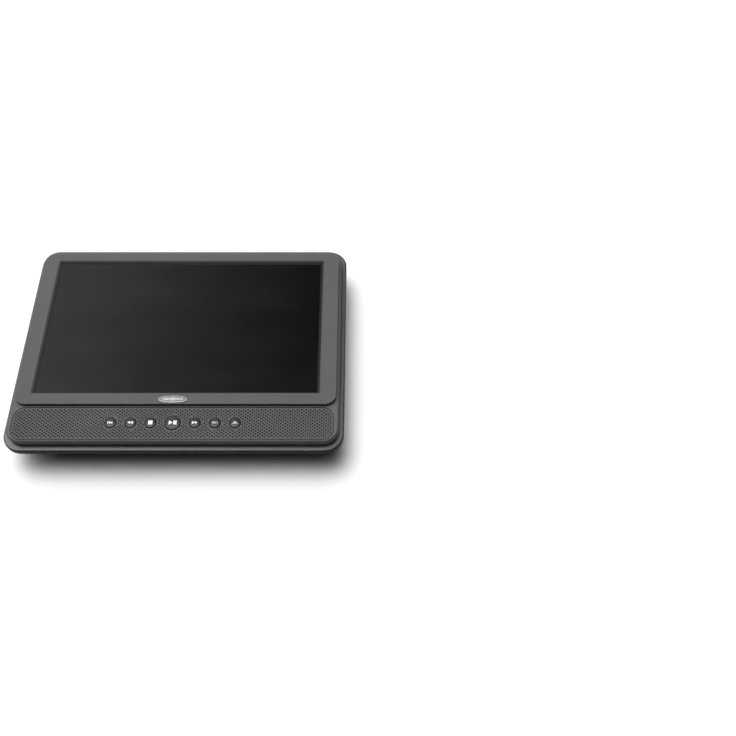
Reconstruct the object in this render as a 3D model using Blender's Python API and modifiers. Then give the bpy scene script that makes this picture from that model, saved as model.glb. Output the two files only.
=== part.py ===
"""Tablet-style portable DVD player, lying on its back: screen and keys face +Z,
the key band is towards -Y, the disc door is in the underside.

Origin: on the surface it stands on, under the middle of the case. All the
driving dimensions below are in millimetres; MM turns them into metres.
"""

import math

import bmesh
import bpy
from mathutils import Matrix, Vector

MM = 0.001

# ---- driving dimensions (mm) ------------------------------------------------
CASE_W = 236.6                         # rear case outline
CASE_FRONT, CASE_REAR = -85.4, 85.6
CASE_R = 13.5                          # its plan corner radius
SLAB_Z0, SLAB_Z1 = 16.0, 21.6          # rear case rim, the ledge is its top
HUMP = (-97.0, 97.0, -79.5, 76.0)      # thick rear half: x0, x1, y0, y1
HUMP_Z = 1.6                           # underside of the thick half
WALL = 1.8
FRONT_W, FRONT_D, FRONT_R = 229.6, 162.2, 11.0
FRONT_Z0, FRONT_Z1 = 21.9, 27.8
BEZEL = (-112.8, 112.8, -53.3, 77.4)   # screen surround plate
BEZEL_Z0, BEZEL_Z1 = 28.1, 30.0
VIEW = (-100.9, 100.9, -44.2, 69.3)    # opening over the display
CHAMFER_W, CHAMFER_H = 1.1, 0.9        # sloped edge round the opening
GLASS_Z = 28.6
GRILLE = (-111.3, 111.3, -79.3, -54.9)
GRILLE_Z0, GRILLE_Z1 = 26.9, 27.8
KEY_Y = -66.7
KEYS = (("key_previous", -43.1), ("key_rewind", -29.2), ("key_stop", -15.3),
        ("key_play_pause", 0.0), ("key_forward", 15.3), ("key_next", 29.2),
        ("key_source", 43.1))
KEY_R, BIG_KEY_R = 3.6, 5.1
DISC_X, DISC_Y = 0.0, -3.0             # spindle axis
WELL_R = 62.5                          # a 120 mm disc with 2.5 mm round it
DOOR = (-66.0, 66.0, -70.6, 67.4)
DOOR_Z0, DOOR_Z1 = 1.6, 3.4
HINGE_Y, HINGE_Z = 64.6, 3.6
SCREWS = [(x, y) for x in (-107.5, 107.5) for y in (-73.0, 73.0)]
FEET = [(-86.0, -68.0), (86.0, -68.0), (-86.0, 64.0), (86.0, 64.0)]
JACK_Z = 10.4                          # height of the socket axes

# ---- scene, collections, materials -------------------------------------------
for old in list(bpy.data.objects):
    bpy.data.objects.remove(old, do_unlink=True)

parts = bpy.data.collections.new("portable_dvd_player")
cutters = bpy.data.collections.new("cutters")
cutters.hide_render = True
bpy.context.scene.collection.children.link(parts)
bpy.context.scene.collection.children.link(cutters)

LOOKS = {  # base colour, roughness, metallic
    "case_grey": ((0.022, 0.022, 0.023), 0.45, 0.0),
    "bezel_grey": ((0.1, 0.1, 0.102), 0.45, 0.0),
    "grille_grey": ((0.09, 0.09, 0.091), 0.5, 0.0),
    "screen_black": ((0.008, 0.008, 0.009), 0.08, 0.0),
    "key_black": ((0.03, 0.03, 0.032), 0.2, 0.0),
    "badge_silver": ((0.5, 0.5, 0.5), 0.3, 1.0),
    "steel": ((0.55, 0.55, 0.56), 0.35, 1.0),
    "board_green": ((0.02, 0.12, 0.05), 0.5, 0.0),
    "black_plastic": ((0.02, 0.02, 0.02), 0.45, 0.0),
    "rubber": ((0.012, 0.012, 0.012), 0.8, 0.0),
    "paper_cone": ((0.03, 0.03, 0.032), 0.9, 0.0),
    "lens": ((0.05, 0.08, 0.25), 0.05, 0.0),
    "battery_blue": ((0.03, 0.09, 0.22), 0.4, 0.0),
    "white_plastic": ((0.7, 0.7, 0.68), 0.4, 0.0),
}


def material(piece, look):
    """A material of the piece's own, in one of the looks above."""
    colour, roughness, metallic = LOOKS[look]
    mat = bpy.data.materials.new(piece)
    mat.use_nodes = True
    shader = mat.node_tree.nodes["Principled BSDF"]
    shader.inputs["Base Color"].default_value = (*colour, 1.0)
    shader.inputs["Roughness"].default_value = roughness
    shader.inputs["Metallic"].default_value = metallic
    mat.diffuse_color = (*colour, 1.0)
    return mat


# ---- shape helpers ---------------------------------------------------------------
def box(x0, x1, y0, y1, z0, z1, r=0.0, seg=5, top=0.0, bottom=0.0, rim=2, rear_r=None):
    """Block with rounded upright corners and, if asked, a rounded top or bottom rim."""
    bm = bmesh.new()
    bmesh.ops.create_cube(bm, size=1.0)
    size = Vector(((x1 - x0) * MM, (y1 - y0) * MM, (z1 - z0) * MM))
    mid = Vector(((x0 + x1) / 2 * MM, (y0 + y1) / 2 * MM, (z0 + z1) / 2 * MM))
    bmesh.ops.transform(bm, matrix=Matrix.Translation(mid) @ Matrix.Diagonal(size.to_4d()), verts=bm.verts)
    if r:
        for front, radius in ((True, r), (False, rear_r or r)):
            upright = [e for e in bm.edges
                       if abs(e.verts[0].co.z - e.verts[1].co.z) > size.z * 0.9
                       and (e.verts[0].co.y < mid.y) == front]
            bmesh.ops.bevel(bm, geom=upright, offset=radius * MM, segments=seg, profile=0.5, affect="EDGES")
    for width, level in ((top, z1), (bottom, z0)):
        if width:
            ring = [e for e in bm.edges if all(abs(v.co.z - level * MM) < 1e-7 for v in e.verts)]
            bmesh.ops.bevel(bm, geom=ring, offset=width * MM, segments=rim, profile=0.5, affect="EDGES")
    bmesh.ops.recalc_face_normals(bm, faces=bm.faces)
    return bm


def rod(r, a, b, seg=20, r2=None):
    """Cylinder or cone from point a to point b."""
    a, b = Vector(a) * MM, Vector(b) * MM
    bm = bmesh.new()
    turn = (b - a).to_track_quat("Z", "Y").to_matrix().to_4x4()
    bmesh.ops.create_cone(bm, cap_ends=True, segments=seg, radius1=r * MM,
                          radius2=(r if r2 is None else r2) * MM, depth=(b - a).length,
                          matrix=Matrix.Translation((a + b) / 2) @ turn)
    bmesh.ops.recalc_face_normals(bm, faces=bm.faces)
    return bm


def frustum(low, high, z0, z1):
    """Block whose bottom and top rectangles differ."""
    bm = box(*low, z0, z1)
    for v in bm.verts:
        if v.co.z > (z0 + z1) / 2 * MM:
            v.co.x = (high[0] if v.co.x < 0 else high[1]) * MM
            mid = (low[2] + low[3]) / 2 * MM
            v.co.y = (high[2] if v.co.y < mid else high[3]) * MM
    return bm


def merged(shapes):
    """Several separate shapes as one mesh."""
    whole = bmesh.new()
    for shape in shapes:
        mesh = bpy.data.meshes.new("shape")
        shape.to_mesh(mesh)
        whole.from_mesh(mesh)
        bpy.data.meshes.remove(mesh)
        shape.free()
    return whole


def piece(name, bm, look, origin=(0.0, 0.0, 0.0), smooth=True):
    """A part with its origin at the given point (mm)."""
    at = Vector(origin) * MM
    bmesh.ops.translate(bm, vec=-at, verts=bm.verts)
    mesh = bpy.data.meshes.new(name)
    bm.to_mesh(mesh)
    bm.free()
    mesh.materials.append(material(name, look))
    obj = bpy.data.objects.new(name, mesh)
    obj.location = at
    parts.objects.link(obj)
    if smooth:
        mesh.shade_smooth()
        mesh.set_sharp_from_angle(angle=math.radians(35))
    return obj


def tool(name, shapes):
    mesh = bpy.data.meshes.new(name)
    bm = merged(shapes)
    bm.to_mesh(mesh)
    bm.free()
    obj = bpy.data.objects.new(name, mesh)
    obj.hide_render = True
    obj.display_type = "WIRE"
    cutters.objects.link(obj)
    return obj


def boolean(obj, operation, label, shapes):
    mod = obj.modifiers.new(label, "BOOLEAN")
    mod.operation = operation
    mod.solver = "EXACT"
    mod.object = tool(obj.name + "_" + label, shapes)


def cut(obj, label, *shapes):
    boolean(obj, "DIFFERENCE", label, shapes)


def join(obj, label, *shapes):
    boolean(obj, "UNION", label, shapes)


def turned(name, profile, look, origin, steps=24, axis="Z"):
    """Solid of revolution. The profile is (radius, height) pairs, outer side top to bottom."""
    mesh = bpy.data.meshes.new(name)
    closed = profile[0][0] > 0
    count = len(profile)
    edges = [(i, i + 1) for i in range(count - 1)] + ([(count - 1, 0)] if closed else [])
    mesh.from_pydata([(r * MM, 0.0, z * MM) for r, z in profile], edges, [])
    mesh.materials.append(material(name, look))
    obj = bpy.data.objects.new(name, mesh)
    obj.location = Vector(origin) * MM
    if axis == "X":
        obj.rotation_euler = (0.0, math.radians(90), 0.0)
    parts.objects.link(obj)
    mod = obj.modifiers.new("turn", "SCREW")
    mod.axis = "Z"
    mod.angle = math.tau
    mod.steps = mod.render_steps = steps
    mod.use_merge_vertices = True
    mod.merge_threshold = 0.00001
    mod.use_smooth_shade = True
    return obj


# ---- rear case: rim slab with the thick half under it -----------------------------
HX = CASE_W / 2
rear = piece("rear_case", box(-HX, HX, CASE_FRONT, CASE_REAR, SLAB_Z0, SLAB_Z1, r=CASE_R, seg=6, top=1.2, bottom=1.5), "case_grey")
join(rear, "hump", box(*HUMP, HUMP_Z, SLAB_Z0 + 1.0, r=12.0, bottom=3.0, rim=3))
cut(rear, "hump_room", box(HUMP[0] + WALL, HUMP[1] - WALL, HUMP[2] + WALL, HUMP[3] - WALL, HUMP_Z + WALL, 18.5, r=10.2))
cut(rear, "rim_room", box(-HX + WALL, HX - WALL, CASE_FRONT + WALL, CASE_REAR - WALL, SLAB_Z0 + WALL, 19.9, r=11.7))
cut(rear, "mouth", box(-111.5, 111.5, -77.5, 77.5, 19.0, 22.5, r=8.0))
join(rear, "bosses", *[rod(4.3, (x, y, 16.6), (x, y, 21.3), seg=12) for x, y in SCREWS])
cut(rear, "screw_heads", *[rod(2.9, (x, y, 15.0), (x, y, 19.0), seg=12) for x, y in SCREWS])
cut(rear, "screw_holes", *[rod(1.7, (x, y, 18.0), (x, y, 22.0), seg=8) for x, y in SCREWS])
cut(rear, "door_opening", box(DOOR[0] - 0.35, DOOR[1] + 0.35, DOOR[2] - 0.35, DOOR[3] + 0.9, 0.5, 4.5, r=6.35, rear_r=1.7, seg=4))
cut(rear, "latch_slot", box(-6.6, 6.6, -77.2, -70.0, 0.6, 4.4))
SIDE = ((4.0, 3.3), (-8.0, 3.3), (-20.0, 3.3), (-49.0, 4.3))
cut(rear, "socket_holes", *[rod(r, (93.0, y, JACK_Z + (0.6 if r > 4 else 0.0)), (99.0, y, JACK_Z + (0.6 if r > 4 else 0.0)), seg=16) for y, r in SIDE],
    box(93.0, 99.0, -40.0, -26.0, 7.3, 14.2),
    box(93.0, 99.0, 15.9, 28.1, 8.6, 11.8),
    box(93.0, 99.0, 37.2, 43.8, 8.9, 11.5))
cut(rear, "card_opening", box(-99.0, -93.0, 14.8, 39.2, 4.5, 7.2))

# ---- front case -----------------------------------------------------------------
FX, FY = FRONT_W / 2, FRONT_D / 2
front = piece("front_case", box(-FX, FX, -FY, FY, FRONT_Z0, FRONT_Z1, r=FRONT_R, seg=6, top=1.35, rim=3), "bezel_grey")
cut(front, "room", box(-FX + 2, FX - 2, -FY + 2, FY - 2, 21.0, 25.0, r=9.0))
cut(front, "display_opening", box(-103.2, 103.2, -47.8, 72.0, 24.0, 29.0))
cut(front, "grille_pocket", box(GRILLE[0] - 0.35, GRILLE[1] + 0.35, GRILLE[2] - 0.35, GRILLE[3] + 0.35, 26.6, 28.9, r=8.35))
cut(front, "sound_and_keys", box(-100.0, -66.0, -73.0, -59.0, 24.0, 27.2), box(66.0, 100.0, -73.0, -59.0, 24.0, 27.2),
    *[rod(5.5 if x == 0.0 else 3.95, (x, KEY_Y, 24.0), (x, KEY_Y, 27.2), seg=16) for _, x in KEYS])
join(front, "bosses", *[rod(3.6, (x, y, 22.2), (x, y, 25.4), seg=10) for x, y in SCREWS])
cut(front, "screw_holes", *[rod(1.6, (x, y, 21.2), (x, y, 25.2), seg=8) for x, y in SCREWS])

# ---- screen surround -------------------------------------------------------------
bezel = piece("screen_bezel", box(*BEZEL, BEZEL_Z0, BEZEL_Z1, r=8.0, rear_r=10.0, seg=6, top=0.4, rim=2), "bezel_grey")
cut(bezel, "glass_pocket", box(-102.6, 102.6, -47.1, 71.3, 27.0, 28.9))
cut(bezel, "view_opening", box(*VIEW, 27.5, 31.0))
slope = CHAMFER_W / CHAMFER_H
lip = BEZEL_Z1 - CHAMFER_H


def grown(rect, by):
    return (rect[0] - by, rect[1] + by, rect[2] - by, rect[3] + by)


cut(bezel, "view_chamfer", frustum(grown(VIEW, slope * (28.95 - lip)), grown(VIEW, slope * (30.4 - lip)), 28.95, 30.4))
cut(bezel, "badge_pocket", box(-11.9, 9.1, -52.55, -46.25, 29.3, 31.0, r=3.14, seg=5))
piece("badge", box(-11.6, 8.8, -52.25, -46.55, 29.6, 30.2, r=2.84, seg=5), "badge_silver", (-1.4, -49.4, 29.6))

# ---- display --------------------------------------------------------------------
piece("display_glass", box(-102.2, 102.2, -46.7, 70.9, 27.2, GLASS_Z), "screen_black", (0.0, 12.6, 27.2), smooth=False)
piece("lcd_panel", box(-101.8, 101.8, -46.3, 70.5, 23.9, 26.9), "black_plastic", (0.0, 12.6, 23.9), smooth=False)
tray = piece("backlight_tray", box(-101.8, 101.8, -46.3, 70.5, 22.3, 23.6), "steel", (0.0, 12.6, 22.3), smooth=False)

# ---- grille panel and keys --------------------------------------------------------
grille = piece("grille_panel", box(*GRILLE, GRILLE_Z0, GRILLE_Z1, r=8.0, seg=6), "grille_grey", (0.0, -67.1, GRILLE_Z0))
cut(grille, "key_holes", *[rod(5.6 if x == 0.0 else 4.1, (x, KEY_Y, 26.0), (x, KEY_Y, 29.0), seg=18) for _, x in KEYS])

for name, x in KEYS:
    r = BIG_KEY_R if x == 0.0 else KEY_R
    flange = r + 1.2
    dome = [(r * t, 28.0 + 0.35 * (1 - t * t)) for t in (0.0, 0.5, 0.82)]
    profile = dome + [(r - 0.12, 27.98), (r, 27.8), (r, 24.65), (flange, 24.6), (flange, 23.4), (0.0, 23.4)]
    turned(name, [(a, z - 23.4) for a, z in profile], "key_black", (x, KEY_Y, 23.4), steps=20 if x == 0.0 else 16)

board = piece("key_board", box(-52.0, 52.0, -73.0, -59.5, 17.6, 18.8), "board_green", (0.0, KEY_Y, 17.6), smooth=False)
join(board, "switches", *[box(x - 2.5, x + 2.5, KEY_Y - 2.5, KEY_Y + 2.5, 18.5, 21.9) for _, x in KEYS])
join(board, "plungers", *[rod(1.5, (x, KEY_Y, 21.5), (x, KEY_Y, 22.6), seg=10) for _, x in KEYS])

# ---- speakers --------------------------------------------------------------------
for side, s in (("left", -1), ("right", 1)):
    def sx(a, b):
        return (s * a, s * b) if s > 0 else (s * b, s * a)
    frame = piece(f"speaker_frame_{side}", box(*sx(63.0, 103.0), -74.5, -57.5, 22.4, 24.6, r=8.0, seg=4), "black_plastic", (s * 83.0, -66.0, 22.4))
    join(frame, "basket", box(*sx(64.5, 101.5), -73.3, -58.7, 19.0, 23.2, r=7.0, seg=4))
    join(frame, "magnet", rod(6.8, (s * 83.0, -66.0, 16.2), (s * 83.0, -66.0, 19.6), seg=18))
    cut(frame, "cone_room", box(*sx(66.0, 100.0), -71.8, -60.2, 20.3, 25.5, r=5.7, seg=4))
    cone = piece(f"speaker_cone_{side}", box(*sx(66.4, 99.6), -71.4, -60.6, 22.4, 23.1, r=5.3, seg=4), "paper_cone", (s * 83.0, -66.0, 22.4))
    join(cone, "dust_cap", rod(4.2, (s * 83.0, -66.0, 22.8), (s * 83.0, -66.0, 24.0), seg=16, r2=2.4))

# ---- boards and battery -------------------------------------------------------------
main = piece("main_board", box(-88.0, 57.0, -54.0, 66.0, 18.4, 19.6), "board_green", (-15.5, 6.0, 18.4), smooth=False)
join(main, "components", box(-80.0, -62.0, -40.0, -22.0, 19.2, 21.2), box(-50.0, -38.0, 40.0, 58.0, 19.2, 21.6),
     box(-76.0, -60.0, 20.0, 30.0, 19.2, 21.4), box(20.0, 44.0, -44.0, -34.0, 19.2, 21.0))
piece("shield_can", box(-24.0, 26.0, 2.0, 46.0, 19.9, 21.7, r=1.5, seg=2), "steel", (1.0, 24.0, 19.9), smooth=False)
piece("battery_pack", box(-93.0, -42.0, -53.0, 55.0, 10.8, 17.6, r=3.0, seg=3, top=1.5, bottom=1.5, rim=2), "battery_blue", (-67.5, -4.0, 10.8))
piece("jack_board", box(71.5, 93.6, -56.0, 50.0, 6.2, 7.4), "board_green", (83.0, -3.0, 6.2), smooth=False)

# ---- sockets and controls in the right-hand wall --------------------------------------
for name, y in (("headphone_jack_front", -8.0), ("headphone_jack_rear", 4.0), ("av_jack", -20.0)):
    jack = piece(name, box(83.0, 94.6, y - 3.2, y + 3.2, 7.7, 13.0), "black_plastic", (83.0, y, JACK_Z), smooth=False)
    join(jack, "nose", rod(2.9, (94.0, y, JACK_Z), (96.8, y, JACK_Z), seg=20))
    cut(jack, "bore", rod(1.8, (85.5, y, JACK_Z), (98.0, y, JACK_Z), seg=14))
dc = piece("dc_jack", box(82.0, 94.6, -54.0, -44.0, 7.7, 14.6), "black_plastic", (82.0, -49.0, JACK_Z + 0.6), smooth=False)
join(dc, "nose", rod(3.9, (94.0, -49.0, JACK_Z + 0.6), (96.8, -49.0, JACK_Z + 0.6), seg=20))
cut(dc, "bore", rod(2.75, (85.0, -49.0, JACK_Z + 0.6), (98.0, -49.0, JACK_Z + 0.6), seg=16))
join(dc, "pin", rod(0.75, (84.0, -49.0, JACK_Z + 0.6), (95.6, -49.0, JACK_Z + 0.6), seg=10))
usb = piece("usb_port", box(82.0, 96.7, -39.6, -26.4, 7.8, 13.8), "steel", (82.0, -33.0, 7.8), smooth=False)
cut(usb, "mouth", box(84.0, 98.0, -39.1, -26.9, 8.3, 13.3))
join(usb, "tongue", box(83.0, 95.0, -38.0, -28.0, 11.1, 12.7))
piece("power_switch_body", box(84.0, 93.0, 33.0, 47.0, 7.7, 12.7), "black_plastic", (88.5, 40.0, 7.7), smooth=False)
knob = piece("power_switch_knob", box(93.3, 94.8, 35.0, 43.2, 8.6, 11.8), "black_plastic", (94.8, 39.0, 10.2), smooth=False)
join(knob, "thumb", box(94.4, 98.4, 37.6, 40.4, 9.2, 11.2, r=0.5, seg=2))
pot = piece("volume_control", box(86.0, 94.6, 17.5, 26.5, 7.7, 8.7), "black_plastic", (92.0, 22.0, 7.7), smooth=False)
join(pot, "shaft", rod(1.2, (92.0, 22.0, 8.4), (92.0, 22.0, 11.6), seg=12))
wheel = piece("volume_wheel", rod(6.5, (92.0, 22.0, 9.1), (92.0, 22.0, 11.3), seg=28), "black_plastic", (92.0, 22.0, 9.1))
cut(wheel, "shaft_hole", rod(1.5, (92.0, 22.0, 8.5), (92.0, 22.0, 12.0), seg=12))
slot = piece("card_slot", box(-94.6, -73.0, 14.0, 40.0, 4.0, 7.5), "steel", (-94.6, 27.0, 4.0), smooth=False)
cut(slot, "mouth", box(-96.0, -75.0, 15.0, 39.0, 4.7, 6.9))

# ---- disc well, door, latch -------------------------------------------------------------
well = piece("disc_well", box(-71.0, 71.0, -74.0, 60.6, 3.7, 4.9, r=3.0, seg=3), "black_plastic", (DISC_X, DISC_Y, 3.7))
join(well, "hinge_gutter", box(-69.5, 69.5, 60.1, 71.0, 3.75, 8.7))
join(well, "dish", rod(WELL_R + 1.5, (DISC_X, DISC_Y, 3.72), (DISC_X, DISC_Y, 10.2), seg=48))
cut(well, "dish_room", rod(WELL_R, (DISC_X, DISC_Y, 2.0), (DISC_X, DISC_Y, 9.0), seg=48))
cut(well, "gutter_room", box(-67.6, 67.6, 61.9, 69.2, 2.0, 7.4))
cut(well, "turntable_hole", rod(18.0, (DISC_X, DISC_Y, 8.0), (DISC_X, DISC_Y, 11.0), seg=24))
cut(well, "pickup_slot", box(10.0, 66.0, DISC_Y - 10.0, DISC_Y + 10.0, 8.2, 11.2))
cut(well, "latch_notch", box(-10.0, 10.0, -75.0, -67.4, 3.0, 6.0))
EARS = [(s * a - 1.25, s * a + 1.25) for s in (-1, 1) for a in (37.4, 50.6)]
join(well, "hinge_ears", *[box(x0, x1, HINGE_Y - 1.7, HINGE_Y + 1.7, 1.9, 8.0) for x0, x1 in EARS])
cut(well, "pin_holes", *[rod(1.1, (x0 - 0.5, HINGE_Y, HINGE_Z), (x1 + 0.5, HINGE_Y, HINGE_Z), seg=12) for x0, x1 in EARS])
GROMMETS = [(-20.0, -30.0), (-20.0, 24.0), (50.0, 22.0), (50.0, -29.0)]
join(well, "grommet_posts", *[rod(1.5, (x, y, 9.8), (x, y, 14.0), seg=8) for x, y in GROMMETS])

door = piece("disc_door", box(*DOOR, DOOR_Z0, DOOR_Z1, r=6.0, rear_r=1.5, seg=4), "case_grey", (0.0, HINGE_Y, HINGE_Z))
join(door, "knuckles", *[rod(1.7, (s * 44.0 - 4.4, HINGE_Y, HINGE_Z), (s * 44.0 + 4.4, HINGE_Y, HINGE_Z), seg=14) for s in (-1, 1)])
cut(door, "ear_notches", *[box(x0 - 0.35, x1 + 0.35, HINGE_Y - 2.6, HINGE_Y + 4.0, 1.0, 6.0) for x0, x1 in EARS])
cut(door, "pin_holes", *[rod(1.1, (s * 44.0 - 5.0, HINGE_Y, HINGE_Z), (s * 44.0 + 5.0, HINGE_Y, HINGE_Z), seg=12) for s in (-1, 1)])
join(door, "hook", box(-5.0, 5.0, -70.2, -68.6, 3.0, 6.4))
join(door, "hook_nose", box(-5.0, 5.0, -71.6, -69.0, 5.3, 6.3))
for side, s in (("left", -1), ("right", 1)):
    piece(f"door_hinge_pin_{side}", rod(0.8, (s * 44.0 - 7.9, HINGE_Y, HINGE_Z), (s * 44.0 + 7.9, HINGE_Y, HINGE_Z), seg=12), "steel", (s * 44.0, HINGE_Y, HINGE_Z))
latch = piece("door_latch", box(-8.5, 8.5, -75.3, -71.95, 3.8, 4.9), "black_plastic", (0.0, -73.0, 3.8), smooth=False)
join(latch, "thumb_pad", box(-5.9, 5.9, -75.0, -73.0, 1.9, 4.2))

# ---- disc drive -----------------------------------------------------------------------
DX, DY = DISC_X, DISC_Y
chassis = piece("drive_chassis", box(-27.0, 77.0, -37.0, 31.0, 11.8, 13.0, r=4.0, seg=3), "steel", (DX, DY, 11.8), smooth=False)
cut(chassis, "openings", rod(5.0, (DX, DY, 11.0), (DX, DY, 14.0), seg=14), box(13.0, 68.0, DY - 10.5, DY + 10.5, 11.0, 14.0),
    *[rod(3.3, (x, y, 11.0), (x, y, 14.0), seg=10) for x, y in GROMMETS])
ROD_Y, ROD_Z, SCREW_Y, SCREW_Z = 16.5, 15.4, DY - 24.5, 16.4
join(chassis, "rod_posts", *[box(x, x + 3.0, DY + s * ROD_Y - 2.3, DY + s * ROD_Y + 2.3, 12.6, 17.6) for x in (15.0, 72.0) for s in (-1, 1)],
     box(13.0, 16.0, SCREW_Y - 2.2, SCREW_Y + 1.9, 12.6, 18.1))
cut(chassis, "rod_holes", *[rod(1.55, (x - 0.5, DY + s * ROD_Y, ROD_Z), (x + 3.5, DY + s * ROD_Y, ROD_Z), seg=8) for x in (15.0, 72.0) for s in (-1, 1)],
    rod(1.4, (12.5, SCREW_Y, SCREW_Z), (16.5, SCREW_Y, SCREW_Z), seg=12))
for label, s in (("front", -1), ("rear", 1)):
    piece(f"guide_rod_{label}", rod(1.25, (14.6, DY + s * ROD_Y, ROD_Z), (75.4, DY + s * ROD_Y, ROD_Z), seg=14), "steel", (45.0, DY + s * ROD_Y, ROD_Z))
for i, (x, y) in enumerate(GROMMETS):
    turned(f"grommet_{i + 1}", [(4.2, 3.6), (4.2, 2.8), (3.0, 2.8), (3.0, 1.0), (4.2, 1.0), (4.2, 0.0), (1.85, 0.0), (1.85, 3.6)], "rubber", (x, y, 10.5), steps=10)
turned("spindle_motor", [(0.0, 17.8), (9.0, 17.8), (12.0, 17.2), (12.0, 13.3), (3.0, 13.3), (3.0, 12.4), (1.0, 12.4), (1.0, 6.4), (0.0, 6.4)],
       "steel", (DX, DY, 0.0), steps=20)
turned("turntable", [(3.6, 11.6), (3.6, 8.5), (15.0, 8.4), (15.0, 7.2), (7.4, 7.2), (7.2, 5.2), (6.4, 4.6), (0.0, 4.6), (0.0, 6.0), (1.3, 6.0), (1.3, 11.6)],
       "black_plastic", (DX, DY, 0.0), steps=20)
sled = piece("pickup_sled", box(18.6, 35.4, DY - 19.5, DY + 19.5, 13.5, 17.4), "black_plastic", (24.0, DY, 15.4), smooth=False)
join(sled, "lens_tower", box(20.5, 29.0, DY - 6.5, DY + 6.5, 9.5, 14.0))
join(sled, "screw_follower", box(21.5, 27.0, SCREW_Y + 1.45, DY - 18.5, 14.6, 17.2))
cut(sled, "rod_bores", *[rod(1.6, (17.0, DY + s * ROD_Y, ROD_Z), (37.0, DY + s * ROD_Y, ROD_Z), seg=12) for s in (-1, 1)])
cut(sled, "lens_seat", rod(3.1, (24.5, DY, 9.0), (24.5, DY, 11.4), seg=16))
turned("pickup_lens", [(0.0, 2.0), (2.7, 2.0), (2.7, 0.5), (2.0, 0.5), (1.2, 0.2), (0.0, 0.0)], "lens", (24.5, DY, 9.1), steps=18)
piece("lead_screw", rod(1.1, (13.4, SCREW_Y, SCREW_Z), (60.8, SCREW_Y, SCREW_Z), seg=12), "steel", (37.0, SCREW_Y, SCREW_Z))
piece("sled_motor", rod(3.0, (61.1, SCREW_Y, SCREW_Z), (76.0, SCREW_Y, SCREW_Z), seg=20), "steel", (68.0, SCREW_Y, SCREW_Z))

# ---- feet and case screws -----------------------------------------------------------------
for i, (x, y) in enumerate(FEET):
    turned(f"foot_{i + 1}", [(0.0, 1.3), (5.0, 1.3), (5.0, 0.3), (4.7, 0.0), (0.0, 0.0)], "rubber", (x, y, 0.0), steps=16)
for i, (x, y) in enumerate(SCREWS):
    turned(f"case_screw_{i + 1}", [(0.0, 24.8), (1.3, 24.8), (1.3, 18.7), (2.5, 18.7), (2.5, 17.4), (2.0, 17.0), (0.0, 17.0)], "steel", (x, y, 0.0), steps=12)
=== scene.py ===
"""Looks of the portable DVD player: fine shells, perforated grille, keys, glass,
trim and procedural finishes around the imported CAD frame. Lengths below are in
millimetres until M turns them into metres."""
import math

import bmesh
import bpy
from mathutils import Matrix, Vector
from mathutils.geometry import delaunay_2d_cdt


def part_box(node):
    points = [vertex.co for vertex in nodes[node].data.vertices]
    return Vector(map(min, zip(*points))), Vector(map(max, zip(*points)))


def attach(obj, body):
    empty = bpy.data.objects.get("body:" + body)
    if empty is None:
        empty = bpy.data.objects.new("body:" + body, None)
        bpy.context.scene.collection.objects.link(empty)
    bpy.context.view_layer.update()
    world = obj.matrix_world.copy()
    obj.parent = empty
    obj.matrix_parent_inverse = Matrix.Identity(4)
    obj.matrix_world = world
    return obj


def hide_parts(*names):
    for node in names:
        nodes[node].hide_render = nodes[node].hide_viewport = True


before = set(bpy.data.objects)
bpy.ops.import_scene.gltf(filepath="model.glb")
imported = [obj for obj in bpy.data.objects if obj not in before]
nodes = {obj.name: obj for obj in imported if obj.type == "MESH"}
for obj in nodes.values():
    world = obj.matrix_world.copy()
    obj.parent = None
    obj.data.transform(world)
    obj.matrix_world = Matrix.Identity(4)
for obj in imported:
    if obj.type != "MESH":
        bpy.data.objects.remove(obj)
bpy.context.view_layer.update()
M = 0.001
scene = bpy.context.scene

# =============================================================================
# Measures shared by the pieces, read from the frame
# =============================================================================


def lims(node):
    """x0, x1, y0, y1, z0, z1 of a CAD node, in millimetres."""
    lo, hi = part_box(node)
    return lo.x / M, hi.x / M, lo.y / M, hi.y / M, lo.z / M, hi.z / M


def mid(node):
    x0, x1, y0, y1, z0, z1 = lims(node)
    return (x0 + x1) / 2, (y0 + y1) / 2, (z0 + z1) / 2


REAR = lims("rear_case")
FRONT = lims("front_case")
PLATE = lims("screen_bezel")
GRILLE = lims("grille_panel")
GLASS = lims("display_glass")
DOOR = lims("disc_door")
WELL = lims("disc_well")
SLAB_Z0 = 16.0
HUMP = (-97.0, 97.0, -79.5, 76.0)
VIEW = (-100.9, 100.9, -44.2, 69.3)
PICTURE = (-99.0, 99.0, -43.4, 67.7)
KEYS = ["key_previous", "key_rewind", "key_stop", "key_play_pause",
        "key_forward", "key_next", "key_source"]
SCREWS = [mid(f"case_screw_{i}")[:2] for i in (1, 2, 3, 4)]
FEET = [mid(f"foot_{i}")[:2] for i in (1, 2, 3, 4)]
HINGE_Y, HINGE_Z = mid("door_hinge_pin_left")[1:]
DISC_X, DISC_Y = mid("turntable")[:2]

# =============================================================================
# Mesh tools
# =============================================================================


def rrect(x0, x1, y0, y1, r, n=12, rear=None):
    """Outline of a rounded rectangle as a function of how far it is grown.
    Starts at the front-left corner and runs anticlockwise, n + 1 points a corner."""
    rear = r if rear is None else rear

    def grown(d):
        pts = []
        for cx, cy, sx, sy, radius, start in (
            (x0, y0, 1, 1, r, 180), (x1, y0, -1, 1, r, 270),
            (x1, y1, -1, -1, rear, 0), (x0, y1, 1, -1, rear, 90),
        ):
            rad = max(radius + d, 0.02)
            ox = cx - sx * d + sx * rad
            oy = cy - sy * d + sy * rad
            for k in range(n + 1):
                a = math.radians(start + 90.0 * k / n)
                pts.append((ox + rad * math.cos(a), oy + rad * math.sin(a)))
        return pts

    return grown


def circle(cx, cy, r, n=32, turn=0.0):
    def grown(d):
        return [(cx + (r + d) * math.cos(math.tau * (k + turn) / n),
                 cy + (r + d) * math.sin(math.tau * (k + turn) / n)) for k in range(n)]
    return grown


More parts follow.
